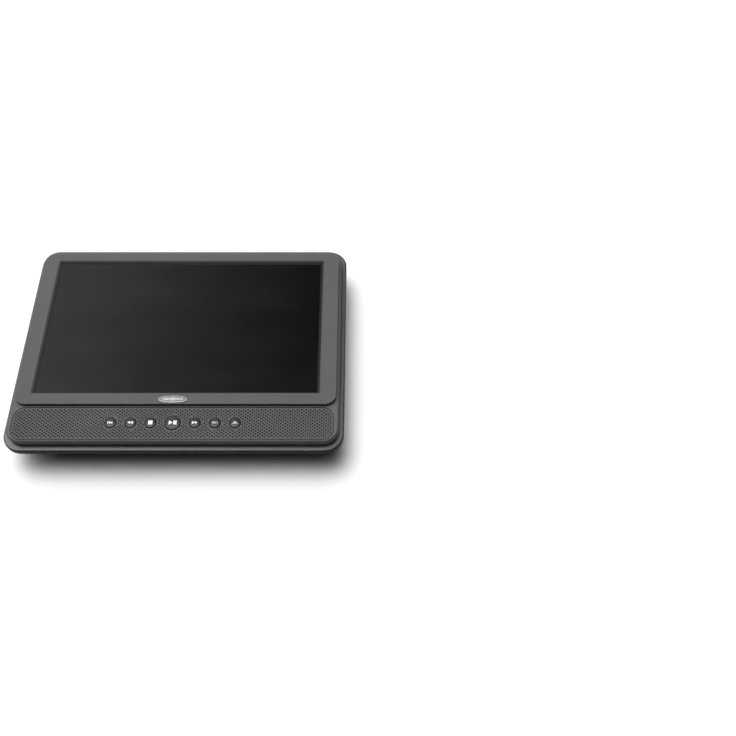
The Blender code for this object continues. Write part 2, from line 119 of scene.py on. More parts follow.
def ellipse(cx, cy, a, b, n=64, power=2.0):
    def grown(d):
        pts = []
        for k in range(n):
            t = math.tau * k / n
            c, q = math.cos(t), math.sin(t)
            pts.append((cx + (a + d) * math.copysign(abs(c) ** (2 / power), c),
                        cy + (b + d) * math.copysign(abs(q) ** (2 / power), q)))
        return pts
    return grown


def fillet(d_flat, z_flat, r, outward, down, steps=6):
    """(offset, z) pairs of a quarter round that starts on a flat face.
    outward is +1 where the offset grows along it, down is -1 where z falls."""
    return [(d_flat + outward * r * math.sin(math.radians(90.0 * k / steps)),
             z_flat + down * r * (1 - math.cos(math.radians(90.0 * k / steps))))
            for k in range(steps + 1)]


class Shell:
    """Collects rings of points and the strips and flat regions between them."""

    def __init__(self):
        self.co, self.faces, self.slots = [], [], []
        self.slot = 0

    def ring(self, pts, z=None):
        first = len(self.co)
        for p in pts:
            self.co.append((p[0], p[1], z if z is not None else p[2]))
        return list(range(first, first + len(pts)))

    def face(self, idx):
        self.faces.append(tuple(idx))
        self.slots.append(self.slot)

    def strip(self, a, b):
        n = len(a)
        for k in range(n):
            self.face((a[k], a[(k + 1) % n], b[(k + 1) % n], b[k]))

    def stack(self, outline, profile, start=None):
        """Rings of one outline at each (offset, z), joined in order."""
        prev, rings = start, []
        for d, z in profile:
            now = self.ring(outline(d), z)
            if prev is not None:
                self.strip(prev, now)
            rings.append(now)
            prev = now
        return rings

    def cap(self, ring):
        self.face(ring)

    def region(self, outer, holes=(), odd=()):
        """Triangles between an outer ring and the rings of its holes, all flat in z.
        Rings listed in odd are not convex."""
        loops = [outer, *holes]
        ids = [i for loop in loops for i in loop]
        owner = [k for k, loop in enumerate(loops) for _ in loop]
        coords = [Vector(self.co[i][:2]) for i in ids]
        edges, base = [], 0
        for loop in loops:
            n = len(loop)
            edges += [(base + k, base + (k + 1) % n) for k in range(n)]
            base += n
        verts, _, tris, origin, _, _ = delaunay_2d_cdt(coords, edges, [], 0, 1e-6, True)
        back = [o[0] for o in origin]
        strange = {k for k, loop in enumerate(loops) if k > 0 and any(loop is o for o in odd)}
        outer_odd = any(outer is o for o in odd)
        for tri in tris:
            who = {owner[back[t]] for t in tri}
            if len(who) == 1 and next(iter(who)) > 0 and next(iter(who)) not in strange:
                continue
            cx = sum(verts[t].x for t in tri) / 3
            cy = sum(verts[t].y for t in tri) / 3
            if strange and any(inside(cx, cy, [self.co[i] for i in loops[k]]) for k in strange):
                continue
            if outer_odd and not inside(cx, cy, [self.co[i] for i in outer]):
                continue
            self.face([ids[back[t]] for t in tri])

    def make(self, name, mats, angle=32.0, weighted=True):
        mesh = bpy.data.meshes.new(name)
        mesh.from_pydata([(x * M, y * M, z * M) for x, y, z in self.co], [], self.faces)
        for m in mats:
            mesh.materials.append(m)
        for poly, slot in zip(mesh.polygons, self.slots):
            poly.material_index = slot
        bm = bmesh.new()
        bm.from_mesh(mesh)
        bmesh.ops.remove_doubles(bm, verts=bm.verts, dist=1e-7)
        bmesh.ops.recalc_face_normals(bm, faces=bm.faces)
        bm.to_mesh(mesh)
        bm.free()
        obj = bpy.data.objects.new(name, mesh)
        scene.collection.objects.link(obj)
        polish(obj, angle, weighted)
        return obj


def inside(x, y, poly):
    hit = False
    n = len(poly)
    for k in range(n):
        x0, y0 = poly[k][0], poly[k][1]
        x1, y1 = poly[(k + 1) % n][0], poly[(k + 1) % n][1]
        if (y0 > y) != (y1 > y) and x < (x1 - x0) * (y - y0) / (y1 - y0) + x0:
            hit = not hit
    return hit


def polish(obj, angle=32.0, weighted=True):
    obj.data.shade_smooth()
    obj.data.set_sharp_from_angle(angle=math.radians(angle))
    if weighted:
        mod = obj.modifiers.new("normals", "WEIGHTED_NORMAL")
        mod.mode = "FACE_AREA"
        mod.weight = 50
        mod.keep_sharp = True


def settle(obj, angle=32.0, weighted=True):
    """The modifiers so far become the mesh."""
    bpy.context.view_layer.update()
    graph = bpy.context.evaluated_depsgraph_get()
    mesh = bpy.data.meshes.new_from_object(obj.evaluated_get(graph), depsgraph=graph)
    obj.modifiers.clear()
    obj.data = mesh
    polish(obj, angle, weighted)


def carve(obj, cutters, operation="DIFFERENCE", angle=32.0, weighted=True):
    """One exact Boolean with several closed cutters that don't overlap."""
    whole = bmesh.new()
    for c in cutters:
        c.data.transform(c.matrix_world)
        whole.from_mesh(c.data)
        bpy.data.objects.remove(c)
    mesh = bpy.data.meshes.new("cutter")
    whole.to_mesh(mesh)
    whole.free()
    tool = bpy.data.objects.new("cutter", mesh)
    scene.collection.objects.link(tool)
    obj.modifiers.clear()
    mod = obj.modifiers.new("carve", "BOOLEAN")
    mod.operation = operation
    mod.solver = "EXACT"
    mod.object = tool
    settle(obj, angle, weighted)
    bpy.data.objects.remove(tool)
    return obj


def block(x0, x1, y0, y1, z0, z1, r=0.3, steps=3, name="block", mats=()):
    """A block with every edge rounded."""
    bm = bmesh.new()
    bmesh.ops.create_cube(bm, size=1.0)
    size = Vector((x1 - x0, y1 - y0, z1 - z0)) * M
    at = Vector((x0 + x1, y0 + y1, z0 + z1)) * M / 2
    bmesh.ops.transform(bm, matrix=Matrix.Translation(at) @ Matrix.Diagonal(size.to_4d()), verts=bm.verts)
    if r:
        bmesh.ops.bevel(bm, geom=bm.edges[:], offset=r * M, segments=steps, profile=0.5,
                        affect="EDGES", clamp_overlap=True)
    return from_bm(bm, name, mats)


def from_bm(bm, name, mats=(), angle=32.0, weighted=True):
    bmesh.ops.recalc_face_normals(bm, faces=bm.faces)
    mesh = bpy.data.meshes.new(name)
    bm.to_mesh(mesh)
    bm.free()
    for m in mats:
        mesh.materials.append(m)
    obj = bpy.data.objects.new(name, mesh)
    scene.collection.objects.link(obj)
    polish(obj, angle, weighted)
    return obj


def turned(name, profile, at, mats=(), steps=48, axis="Z", angle=32.0, shape=None):
    """Solid of revolution about an axis through at. profile is (radius, height)
    pairs along the outer side; it closes on itself unless it ends on the axis."""
    sh = Shell()
    rings = []
    for r, h in profile:
        if r <= 1e-6:
            rings.append([len(sh.co)])
            sh.co.append((0.0, 0.0, h))
        else:
            scale = shape or (lambda a, r, h: r)
            rings.append(sh.ring([(scale(a, r, h) * math.cos(a), scale(a, r, h) * math.sin(a), h)
                                  for a in (math.tau * k / steps for k in range(steps))]))
    pairs = list(zip(rings, rings[1:]))
    if len(rings[0]) > 1 and len(rings[-1]) > 1:
        pairs.append((rings[-1], rings[0]))
    for a, b in pairs:
        if len(a) == 1 and len(b) == 1:
            continue
        if len(a) == 1:
            for k in range(steps):
                sh.face((a[0], b[k], b[(k + 1) % steps]))
        elif len(b) == 1:
            for k in range(steps):
                sh.face((a[k], a[(k + 1) % steps], b[0]))
        else:
            sh.strip(a, b)
    out = []
    for x, y, z in sh.co:
        if axis == "X":
            x, y, z = z, y, x
        elif axis == "-X":
            x, y, z = -z, y, x
        elif axis == "Y":
            x, y, z = x, z, y
        elif axis == "-Z":
            z = -z
        out.append((x + at[0], y + at[1], z + at[2]))
    sh.co = out
    return sh.make(name, mats, angle)


def joined(name, objs, mats=()):
    """Several closed shapes kept together as one piece."""
    bm = bmesh.new()
    used = list(mats)
    for o in objs:
        mesh = o.data
        mesh.transform(o.matrix_world)
        start = len(bm.faces)
        bm.from_mesh(mesh)
        bm.faces.ensure_lookup_table()
        if not mats:
            index = {}
            for i, m in enumerate(mesh.materials):
                if m not in used:
                    used.append(m)
                index[i] = used.index(m)
            for f in bm.faces[start:]:
                f.material_index = index.get(f.material_index, 0)
        bpy.data.objects.remove(o)
    return from_bm(bm, name, used)


def prism(name, outline, z0, z1, mats=(), edge=0.0):
    """Flat shape of any outline with an even thickness and, if asked, broken edges."""
    sh = Shell()
    if edge:
        top = sh.ring(outline(-edge), z1)
        a = sh.ring(outline(0.0), z1 - edge)
        b = sh.ring(outline(0.0), z0)
        sh.strip(top, a)
        sh.strip(a, b)
    else:
        top = sh.ring(outline(0.0), z1)
        b = sh.ring(outline(0.0), z0)
        sh.strip(top, b)
    sh.region(top, odd=[top])
    sh.region(b, odd=[b])
    return sh.make(name, mats)


def poly(points):
    return lambda d: points


# =============================================================================
# Finishes
# =============================================================================


def tree(name):
    m = bpy.data.materials.new(name)
    m.use_nodes = True
    nt = m.node_tree
    return m, nt, nt.nodes["Principled BSDF"]


def node(nt, kind, **sets):
    n = nt.nodes.new(kind)
    for k, v in sets.items():
        if k.startswith("in_"):
            n.inputs[int(k[3:])].default_value = v
        else:
            setattr(n, k, v)
    return n


def coords(nt, scale=(1.0, 1.0, 1.0)):
    """Object coordinates in millimetres, so that a pattern keeps its real size."""
    tc = node(nt, "ShaderNodeTexCoord")
    mp = node(nt, "ShaderNodeMapping")
    mp.inputs["Scale"].default_value = [s / M for s in scale]
    nt.links.new(tc.outputs["Object"], mp.inputs["Vector"])
    return mp.outputs["Vector"]


def noise(nt, vec, period, detail=3.0, rough=0.55):
    n = node(nt, "ShaderNodeTexNoise")
    n.inputs["Scale"].default_value = 1.0 / period
    n.inputs["Detail"].default_value = detail
    n.inputs["Roughness"].default_value = rough
    nt.links.new(vec, n.inputs["Vector"])
    return n.outputs["Fac"]


def span(nt, value, lo, hi, a, b):
    n = node(nt, "ShaderNodeMapRange")
    n.inputs["From Min"].default_value = lo
    n.inputs["From Max"].default_value = hi
    n.inputs["To Min"].default_value = a
    n.inputs["To Max"].default_value = b
    nt.links.new(value, n.inputs["Value"])
    return n.outputs["Result"]


def maths(nt, op, a, b=None):
    n = node(nt, "ShaderNodeMath", operation=op)
    for i, v in enumerate((a, b)):
        if v is None:
            continue
        if isinstance(v, (int, float)):
            n.inputs[i].default_value = v
        else:
            nt.links.new(v, n.inputs[i])
    return n.outputs[0]


def mix(nt, fac, a, b):
    n = node(nt, "ShaderNodeMix", data_type="RGBA")
    nt.links.new(fac, n.inputs[0])
    for slot, v in ((6, a), (7, b)):
        if isinstance(v, tuple):
            n.inputs[slot].default_value = (*v, 1.0)
        else:
            nt.links.new(v, n.inputs[slot])
    return n.outputs[2]


def edge_mask(nt, radius=0.45, lo=0.985, hi=0.90):
    """Near 1 on the outer edges of a piece, 0 on its flats."""
    bev = node(nt, "ShaderNodeBevel", samples=4)
    bev.inputs["Radius"].default_value = radius * M
    geo = node(nt, "ShaderNodeNewGeometry")
    dot = node(nt, "ShaderNodeVectorMath", operation="DOT_PRODUCT")
    nt.links.new(bev.outputs["Normal"], dot.inputs[0])
    nt.links.new(geo.outputs["Normal"], dot.inputs[1])
    return span(nt, dot.outputs["Value"], lo, hi, 0.0, 1.0)


def bumped(nt, bsdf, heights, prior=None):
    """Adds (height, depth in mm) pairs one after another."""
    normal = prior
    for height, depth in heights:
        b = node(nt, "ShaderNodeBump")
        b.inputs["Strength"].default_value = 1.0
        b.inputs["Distance"].default_value = depth * M
        nt.links.new(height, b.inputs["Height"])
        if normal is not None:
            nt.links.new(normal, b.inputs["Normal"])
        normal = b.outputs["Normal"]
    if normal is not None:
        nt.links.new(normal, bsdf.inputs["Normal"])


def plastic(name, colour, rough=0.45, grain=0.32, depth=0.012, vary=0.07, wear=0.35,
            worn=1.35, specular=0.5, polished=None):
    """Moulded plastic: spark-eroded grain, faint flow marks and cloudiness,
    and edges rubbed a little paler."""
    m, nt, b = tree(name)
    vec = coords(nt)
    cloud = noise(nt, vec, 38.0, 2.0)
    spot = noise(nt, vec, 1.1, 4.0, 0.6)
    fine = noise(nt, vec, grain, 2.0, 0.5)
    tone = maths(nt, "ADD", span(nt, cloud, 0.3, 0.7, 1 - vary, 1 + vary),
                 span(nt, spot, 0.3, 0.7, -0.35 * vary, 0.35 * vary))
    dark = tuple(c * 0.0 for c in colour)
    full = tuple(min(1.0, c * 2.0) for c in colour)
    half = maths(nt, "MULTIPLY", tone, 0.5)
    base = mix(nt, half, dark, full)
    if wear:
        mask = edge_mask(nt)
        patchy = span(nt, noise(nt, vec, 5.0, 4.0, 0.6), 0.38, 0.68, 0.15, 1.0)
        rub = maths(nt, "MULTIPLY", maths(nt, "MULTIPLY", mask, patchy), wear)
        base = mix(nt, rub, base, tuple(min(1.0, c * worn + 0.01) for c in colour))
    nt.links.new(base, b.inputs["Base Color"])
    r = maths(nt, "ADD", span(nt, noise(nt, vec, 9.0, 3.0), 0.3, 0.7, rough - 0.05, rough + 0.05),
              span(nt, fine, 0.3, 0.7, -0.03, 0.03))
    nt.links.new(r, b.inputs["Roughness"])
    b.inputs["Specular IOR Level"].default_value = specular
    if polished:  # glossier above a height, matt below it
        sep = node(nt, "ShaderNodeSeparateXYZ")
        nt.links.new(vec, sep.inputs[0])
        nt.links.new(span(nt, sep.outputs["Z"], *polished), b.inputs["Specular IOR Level"])
    bumped(nt, b, [(fine, depth), (spot, depth * 0.6)])
    return m


def metal(name, colour, rough=0.3, brushed=None, depth=0.004, vary=0.1, metallic=1.0):
    """Metal with either a brushed direction or a rolled, faintly mottled finish."""
    m, nt, b = tree(name)
    vec = coords(nt, brushed or (1.0, 1.0, 1.0))
    plain = coords(nt)
    lines = noise(nt, vec, 0.5, 3.0, 0.6)
    cloud = noise(nt, plain, 6.0, 3.0)
    mask = edge_mask(nt, 0.25)
    base = mix(nt, span(nt, cloud, 0.3, 0.7, 0.0, 1.0), tuple(c * (1 - vary) for c in colour),
               tuple(min(1.0, c * (1 + vary)) for c in colour))
    base = mix(nt, maths(nt, "MULTIPLY", mask, 0.5), base, tuple(min(1.0, c * 1.3 + 0.03) for c in colour))
    nt.links.new(base, b.inputs["Base Color"])
    nt.links.new(maths(nt, "ADD", span(nt, lines, 0.25, 0.75, rough - 0.08, rough + 0.08),
                       span(nt, cloud, 0.3, 0.7, -0.03, 0.05)), b.inputs["Roughness"])
    b.inputs["Metallic"].default_value = metallic
    bumped(nt, b, [(lines, depth)])
    return m


def rubber(name, colour=(0.012, 0.012, 0.012)):
    m, nt, b = tree(name)
    vec = coords(nt)
    fine = noise(nt, vec, 0.25, 3.0, 0.6)
    dust = span(nt, noise(nt, vec, 2.2, 4.0, 0.65), 0.45, 0.75, 0.0, 0.5)
    base = mix(nt, maths(nt, "ADD", dust, maths(nt, "MULTIPLY", edge_mask(nt), 0.35)), colour,
               tuple(c * 2.2 + 0.012 for c in colour))
    nt.links.new(base, b.inputs["Base Color"])
    nt.links.new(span(nt, fine, 0.3, 0.7, 0.72, 0.9), b.inputs["Roughness"])
    b.inputs["Specular IOR Level"].default_value = 0.35
    b.inputs["Sheen Weight"].default_value = 0.12
    b.inputs["Sheen Roughness"].default_value = 0.4
    bumped(nt, b, [(fine, 0.02)])
    return m


def glass_front(name):
    """Black display window: a dark cell behind a clear coat, with a fine pixel
    pitch, faint wipe marks in the gloss and a whisper of orange peel."""
    m, nt, b = tree(name)
    vec = coords(nt)
    wipe = noise(nt, coords(nt, (0.35, 1.0, 1.0)), 26.0, 4.0, 0.6)
    peel = noise(nt, vec, 14.0, 2.0)
    cell = node(nt, "ShaderNodeTexChecker")
    cell.inputs["Scale"].default_value = 1.0 / 0.25
    nt.links.new(vec, cell.inputs["Vector"])
    cell.inputs["Color1"].default_value = (0.0014, 0.0014, 0.0015, 1.0)
    cell.inputs["Color2"].default_value = (0.0020, 0.0020, 0.0022, 1.0)
    nt.links.new(cell.outputs["Color"], b.inputs["Base Color"])
    nt.links.new(span(nt, wipe, 0.3, 0.75, 0.035, 0.10), b.inputs["Roughness"])
    b.inputs["Specular IOR Level"].default_value = 0.5
    bumped(nt, b, [(peel, 0.0015)])
    return m


def board_green(name, colour=(0.012, 0.075, 0.035)):
    m, nt, b = tree(name)
    vec = coords(nt)
    br = node(nt, "ShaderNodeTexBrick")
    br.inputs["Scale"].default_value = 0.33
    br.inputs["Mortar Size"].default_value = 0.06
    br.inputs["Color1"].default_value = (*colour, 1.0)
    br.inputs["Color2"].default_value = (*[c * 1.25 for c in colour], 1.0)
    br.inputs["Mortar"].default_value = (*[c * 1.9 + 0.01 for c in colour], 1.0)
    nt.links.new(vec, br.inputs["Vector"])
    nt.links.new(br.outputs["Color"], b.inputs["Base Color"])
    fine = noise(nt, vec, 0.6, 3.0)
    nt.links.new(span(nt, fine, 0.3, 0.7, 0.3, 0.5), b.inputs["Roughness"])
    bumped(nt, b, [(br.outputs["Fac"], -0.03), (fine, 0.01)])
    return m


def cloth(name, colour=(0.01, 0.01, 0.01)):
    """Dark acoustic cloth: a plain weave of two crossed thread waves."""
    m, nt, b = tree(name)
    vec = coords(nt)
    waves = []
    for direction in ("X", "Y"):
        w = node(nt, "ShaderNodeTexWave", wave_type="BANDS", bands_direction=direction)
        w.inputs["Scale"].default_value = 1.0
        w.inputs["Distortion"].default_value = 0.6
        nt.links.new(vec, w.inputs["Vector"])
        waves.append(w.outputs["Fac"])
    weave = maths(nt, "MULTIPLY", waves[0], waves[1])
    base = mix(nt, weave, tuple(c * 0.6 for c in colour), tuple(c * 1.7 for c in colour))
    nt.links.new(base, b.inputs["Base Color"])
    nt.links.new(span(nt, noise(nt, vec, 1.5), 0.3, 0.7, 0.8, 0.95), b.inputs["Roughness"])
    b.inputs["Sheen Weight"].default_value = 0.2
    bumped(nt, b, [(weave, 0.05)])
    return m


def ink(name, colour=(0.82, 0.82, 0.82)):
    """Printed legend: slightly uneven paint with a soft gloss."""
    m, nt, b = tree(name)
    vec = coords(nt)
    fine = noise(nt, vec, 0.3, 3.0)
    base = mix(nt, span(nt, fine, 0.3, 0.7, 0.0, 1.0), tuple(c * 0.93 for c in colour), colour)
    nt.links.new(base, b.inputs["Base Color"])
    nt.links.new(span(nt, fine, 0.3, 0.7, 0.4, 0.55), b.inputs["Roughness"])
    bumped(nt, b, [(fine, 0.004)])
    return m


def lens_blue(name):
    m, nt, b = tree(name)
    vec = coords(nt)
    # Base colour runs from deep blue facing the view to purple at grazing angles: a painted coating reflection.
    lay = node(nt, "ShaderNodeLayerWeight")
    lay.inputs["Blend"].default_value = 0.35
    base = mix(nt, lay.outputs["Facing"], (0.02, 0.04, 0.16), (0.10, 0.03, 0.12))
    nt.links.new(base, b.inputs["Base Color"])
    nt.links.new(span(nt, noise(nt, vec, 1.0), 0.3, 0.7, 0.02, 0.07), b.inputs["Roughness"])
    b.inputs["Coat Weight"].default_value = 1.0
    b.inputs["Coat Roughness"].default_value = 0.03
    return m


MAT = {
    "case": plastic("case_plastic_fine", (0.011, 0.011, 0.0115), 0.36, depth=0.010, wear=0.12, worn=1.6, specular=0.15, polished=(20.9, 21.5, 0.06, 1.0)),
    "front": plastic("front_plastic_fine", (0.062, 0.062, 0.063), 0.50, depth=0.010, specular=0.28),
    "bezel": plastic("bezel_plastic_fine", (0.076, 0.076, 0.077), 0.52, grain=0.28, depth=0.008, vary=0.03, wear=0.2, specular=0.1),
    "grille": plastic("grille_plastic_fine", (0.062, 0.062, 0.063), 0.52, depth=0.008, wear=0.2, specular=0.14),
    "key": plastic("key_plastic_fine", (0.016, 0.016, 0.018), 0.28, grain=0.2, depth=0.003, vary=0.05, wear=0.15, worn=1.6, specular=0.32),
    "mask": plastic("screen_mask_fine", (0.008, 0.008, 0.0083), 0.5, depth=0.001, vary=0.03, wear=0.0, specular=0.1),
    "black": plastic("black_plastic_fine", (0.014, 0.014, 0.015), 0.42, depth=0.012, worn=2.0),
    "well": plastic("well_plastic_fine", (0.018, 0.018, 0.019), 0.5, grain=0.4, depth=0.02, worn=1.8),
    "glass": glass_front("screen_glass_fine"),
    "lcd": plastic("lcd_black_fine", (0.004, 0.004, 0.005), 0.3, depth=0.002, wear=0.0),
    "badge": metal("badge_metal_fine", (0.33, 0.33, 0.34), 0.36, brushed=(0.06, 1.0, 1.0), depth=0.003),
    "badge_field": metal("badge_field_fine", (0.145, 0.145, 0.15), 0.42, brushed=(0.06, 1.0, 1.0), depth=0.004),
    "steel": metal("steel_fine", (0.52, 0.52, 0.53), 0.32, brushed=(0.08, 1.0, 1.0)),
    "tin": metal("tinplate_fine", (0.60, 0.60, 0.58), 0.28),
    "brass": metal("gold_contact_fine", (0.75, 0.52, 0.20), 0.25),
    "screw": metal("screw_steel_fine", (0.10, 0.10, 0.11), 0.36, metallic=1.0),
    "board": board_green("board_fine"),
    "rubber": rubber("rubber_fine"),
    "cone": cloth("speaker_cone_fine", (0.02, 0.02, 0.022)),
    "cloth": cloth("acoustic_cloth_fine", (0.012, 0.012, 0.012)),
    "lens": lens_blue("lens_fine"),
    "battery": plastic("battery_wrap_fine", (0.02, 0.06, 0.16), 0.35, grain=0.8, depth=0.01, worn=1.2),
    "ink": ink("legend_ink_fine"),
    "ball": metal("clamp_ball_fine", (0.65, 0.65, 0.64), 0.18),
    "ink_grey": ink("legend_ink_grey_fine", (0.42, 0.42, 0.42)),
}

INNER = {
    "steel": ["backlight_tray", "drive_chassis", "guide_rod_front", "guide_rod_rear", "lead_screw",
              "door_hinge_pin_left", "door_hinge_pin_right"],
    "tin": ["shield_can", "usb_port", "card_slot", "sled_motor", "spindle_motor"],
    "board": ["main_board", "jack_board", "key_board"],
    "black": ["headphone_jack_front", "headphone_jack_rear", "av_jack", "dc_jack", "power_switch_body",
              "power_switch_knob", "volume_control", "volume_wheel", "speaker_frame_left",
              "speaker_frame_right", "turntable", "pickup_sled", "door_latch"],
    "well": ["disc_well"],
    "lcd": ["lcd_panel"],
    "glass": ["display_glass"],
    "cone": ["speaker_cone_left", "speaker_cone_right"],
    "rubber": ["grommet_1", "grommet_2", "grommet_3", "grommet_4", "foot_1", "foot_2", "foot_3", "foot_4"],
    "battery": ["battery_pack"],
    "lens": ["pickup_lens"],
    "screw": ["case_screw_1", "case_screw_2", "case_screw_3", "case_screw_4"],
    "case": ["rear_case", "disc_door"],
    "front": ["front_case"],
    "bezel": ["screen_bezel"],
    "grille": ["grille_panel"],
    "badge": ["badge"],
    "key": KEYS,
}
for key, names in INNER.items():
    for n in names:
        nodes[n].data.materials.clear()
        nodes[n].data.materials.append(MAT[key])


def stand_in(obj, body, slot, *cad):
    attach(obj, body)
    if cad:
        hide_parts(*cad)
    return obj


# =============================================================================
# Screen surround: one plate with a sloped opening
# =============================================================================
x0, x1, y0, y1, z0, z1 = PLATE
outer = rrect(x0, x1, y0, y1, 8.0, 16, rear=10.0)
view = rrect(*VIEW, 0.6, 16)
pocket = rrect(GLASS[0] - 0.35, GLASS[1] + 0.35, GLASS[2] - 0.35, GLASS[3] + 0.35, 0.6, 16)
sh = Shell()
lip = z1 - 0.9
top_out = sh.stack(outer, fillet(-0.4, z1, 0.4, 1, -1, 6) + [(0.0, z0 + 0.15), (-0.15, z0)])
rim = sh.stack(view, [(1.24, z1), (1.12, z1 - 0.03), (1.02, z1 - 0.1), (0.07, lip + 0.03), (0.0, lip - 0.04), (0.0, GLASS[5] + 0.3)])
inner = sh.stack(pocket, [(0.0, GLASS[5] + 0.3), (0.0, z0)])
sh.strip(rim[-1], inner[0])
sh.strip(inner[1], top_out[-1])
b0, b1, b2, b3 = lims("badge")[:4]
oval = ellipse((b0 + b1) / 2, (b2 + b3) / 2, (b1 - b0) / 2 + 0.22, (b3 - b2) / 2 + 0.22, 72, 2.3)
dip = sh.stack(oval, [(0.04, z1), (-0.04, z1 - 0.08), (-0.04, z1 - 0.7)])
sh.region(dip[-1])
sh.region(top_out[0], [rim[0], dip[0]])
bezel = sh.make("screen_surround", [MAT["bezel"]], 30)
stand_in(bezel, "housing", "bezel_plastic", "screen_bezel")

# Display window and the black mask printed round the picture
x0, x1, y0, y1, z0, z1 = GLASS
sh = Shell()
pane = rrect(x0, x1, y0, y1, 0.5, 6)
rings = sh.stack(pane, [(-0.15, z1), (0.0, z1 - 0.15), (0.0, z0 + 0.1), (-0.1, z0)])
sh.region(rings[0])
sh.region(rings[-1])
pane = sh.make("display_window", [MAT["glass"]], 30)
stand_in(pane, "housing", "screen_glass", "display_glass")
for name, mat, slot, out, ins, za, zb in (
    ("display_mask", MAT["mask"], "screen_glass", rrect(*VIEW, 0.5, 6)(-0.25), rrect(*PICTURE, 0.3, 6)(0.0), z1 + 0.01, z1 + 0.05),
    ("display_gasket", MAT["rubber"], "rubber", rrect(*VIEW, 0.6, 6)(0.9), rrect(*VIEW, 0.5, 6)(-0.4), z1 + 0.055, z1 + 0.16),
):
    sh = Shell()
    o1, i1 = sh.ring(out, zb), sh.ring(ins, zb)
    o0, i0 = sh.ring(out, za), sh.ring(ins, za)
    sh.strip(o1, o0)
    sh.strip(i0, i1)
    sh.strip(o1, i1)
    sh.strip(i0, o0)
    stand_in(sh.make(name, [mat], 30), "housing", slot)

# =============================================================================
# Badge: brushed oval with a raised rim round a darker field
# =============================================================================
z0, z1 = lims("badge")[4:]
cx, cy, ha, hb = (b0 + b1) / 2, (b2 + b3) / 2, (b1 - b0) / 2, (b3 - b2) / 2
plate = ellipse(cx, cy, ha - 0.02, hb - 0.02, 72, 2.3)
sh = Shell()
out = sh.stack(plate, fillet(-0.25, z1, 0.25, 1, -1, 4) + [(0.0, z0)])
field = sh.stack(plate, [(-0.62, z1), (-0.8, z1 - 0.15)])
sh.strip(out[0], field[0])
sh.region(out[-1])
sh.slot = 1
sh.region(field[-1])
badge = sh.make("badge_plate", [MAT["badge"], MAT["badge_field"]], 30)
stand_in(badge, "housing", "badge_metal", "badge")
marks = []
for k in range(-3, 4):
    w = 0.75 if k % 2 else 1.25
    h = 2.9 - 0.34 * abs(k)
    marks.append(prism("mark", ellipse(cx + k * 2.1, cy, w, h / 2, 20, 2.6), z1 - 0.2, z1 - 0.01, edge=0.06))
line = joined("badge_bars", marks, [MAT["badge"]])
stand_in(line, "housing", "badge_metal")

# =============================================================================
# Front case: rounded shell round the screen surround and the grille
# =============================================================================
x0, x1, y0, y1, z0, z1 = FRONT
outer = rrect(x0, x1, y0, y1, 11.0, 18)
g = GRILLE
pock = rrect(g[0] - 0.35, g[1] + 0.35, g[2] - 0.35, g[3] + 0.35, 8.35, 14)
disp = rrect(-103.2, 103.2, -47.8, 72.0, 0.5, 4)
sh = Shell()
top = sh.stack(outer, fillet(-1.35, z1, 1.35, 1, -1, 10) + [(0.0, z0 + 0.25), (-0.25, z0), (-1.9, z0), (-2.0, z0 + 0.1), (-2.0, z1 - 2.8)])
well = sh.stack(pock, [(0.0, z1), (-0.0, z1 - 1.15)])
hole = sh.stack(disp, [(0.0, z1), (0.0, z1 - 2.8)])
sh.region(top[0], [well[0], hole[0]])
floor_holes = []
for name in KEYS:
    kx, ky, _ = mid(name)
    kr = (lims(name)[1] - lims(name)[0]) / 2 - 1.2 + 0.4
    floor_holes.append(sh.stack(circle(kx, ky, kr, 28), [(0.0, z1 - 1.15), (0.0, z1 - 2.8)]))
for s in (-1, 1):
    sx = sorted((s * 66.0, s * 100.0))
    floor_holes.append(sh.stack(rrect(*sx, -73.0, -59.0, 2.0, 5), [(0.0, z1 - 1.15), (0.0, z1 - 2.8)]))
sh.region(well[-1], [h[0] for h in floor_holes])
sh.region(top[-1], [hole[-1]] + [h[-1] for h in floor_holes])
front = sh.make("front_shell", [MAT["front"]], 30)
stand_in(front, "housing", "front_plastic", "front_case")

# =============================================================================
# Grille: a thin moulded panel pierced on a diagonal lattice
# =============================================================================
x0, x1, y0, y1, z0, z1 = GRILLE
outer = rrect(x0, x1, y0, y1, 8.0, 16)
STEP_X, STEP_Y, HOLE = 3.12, 1.15, 0.49
sh = Shell()
edge = sh.stack(outer, fillet(-0.25, z1, 0.25, 1, -1, 4) + [(0.0, z0)])
rounds = []
for name in KEYS:
    kx, ky, _ = mid(name)
    kr = (lims(name)[1] - lims(name)[0]) / 2 - 1.2 + 0.5
    rounds.append((kx, ky, kr))
rings = [sh.stack(circle(kx, ky, kr, 48), [(0.22, z1), (0.06, z1 - 0.06), (0.0, z1 - 0.22), (0.0, z0)]) for kx, ky, kr in rounds]
safe = outer(-1.0)
rows = int((y1 - y0) / STEP_Y) + 2
cols = int((x1 - x0) / STEP_X) + 2
holes = []
for j in range(-rows, rows + 1):
    for i in range(-cols, cols + 1):
        hx = (x0 + x1) / 2 + (i + 0.5 * (j % 2)) * STEP_X
        hy = (y0 + y1) / 2 + j * STEP_Y
        if not inside(hx, hy, safe):
            continue
        if any(math.hypot(hx - kx, hy - ky) < kr + 1.1 for kx, ky, kr in rounds):
            continue
        holes.append(sh.stack(circle(hx, hy, HOLE, 10), [(0.1, z1), (0.0, z1 - 0.12), (-0.05, z0)]))
sh.region(edge[0], [r[0] for r in rings] + [h[0] for h in holes])
sh.region(edge[-1], [r[-1] for r in rings] + [h[-1] for h in holes])
grille = sh.make("grille_mesh", [MAT["grille"]], 30)
stand_in(grille, "housing", "grille_plastic", "grille_panel")
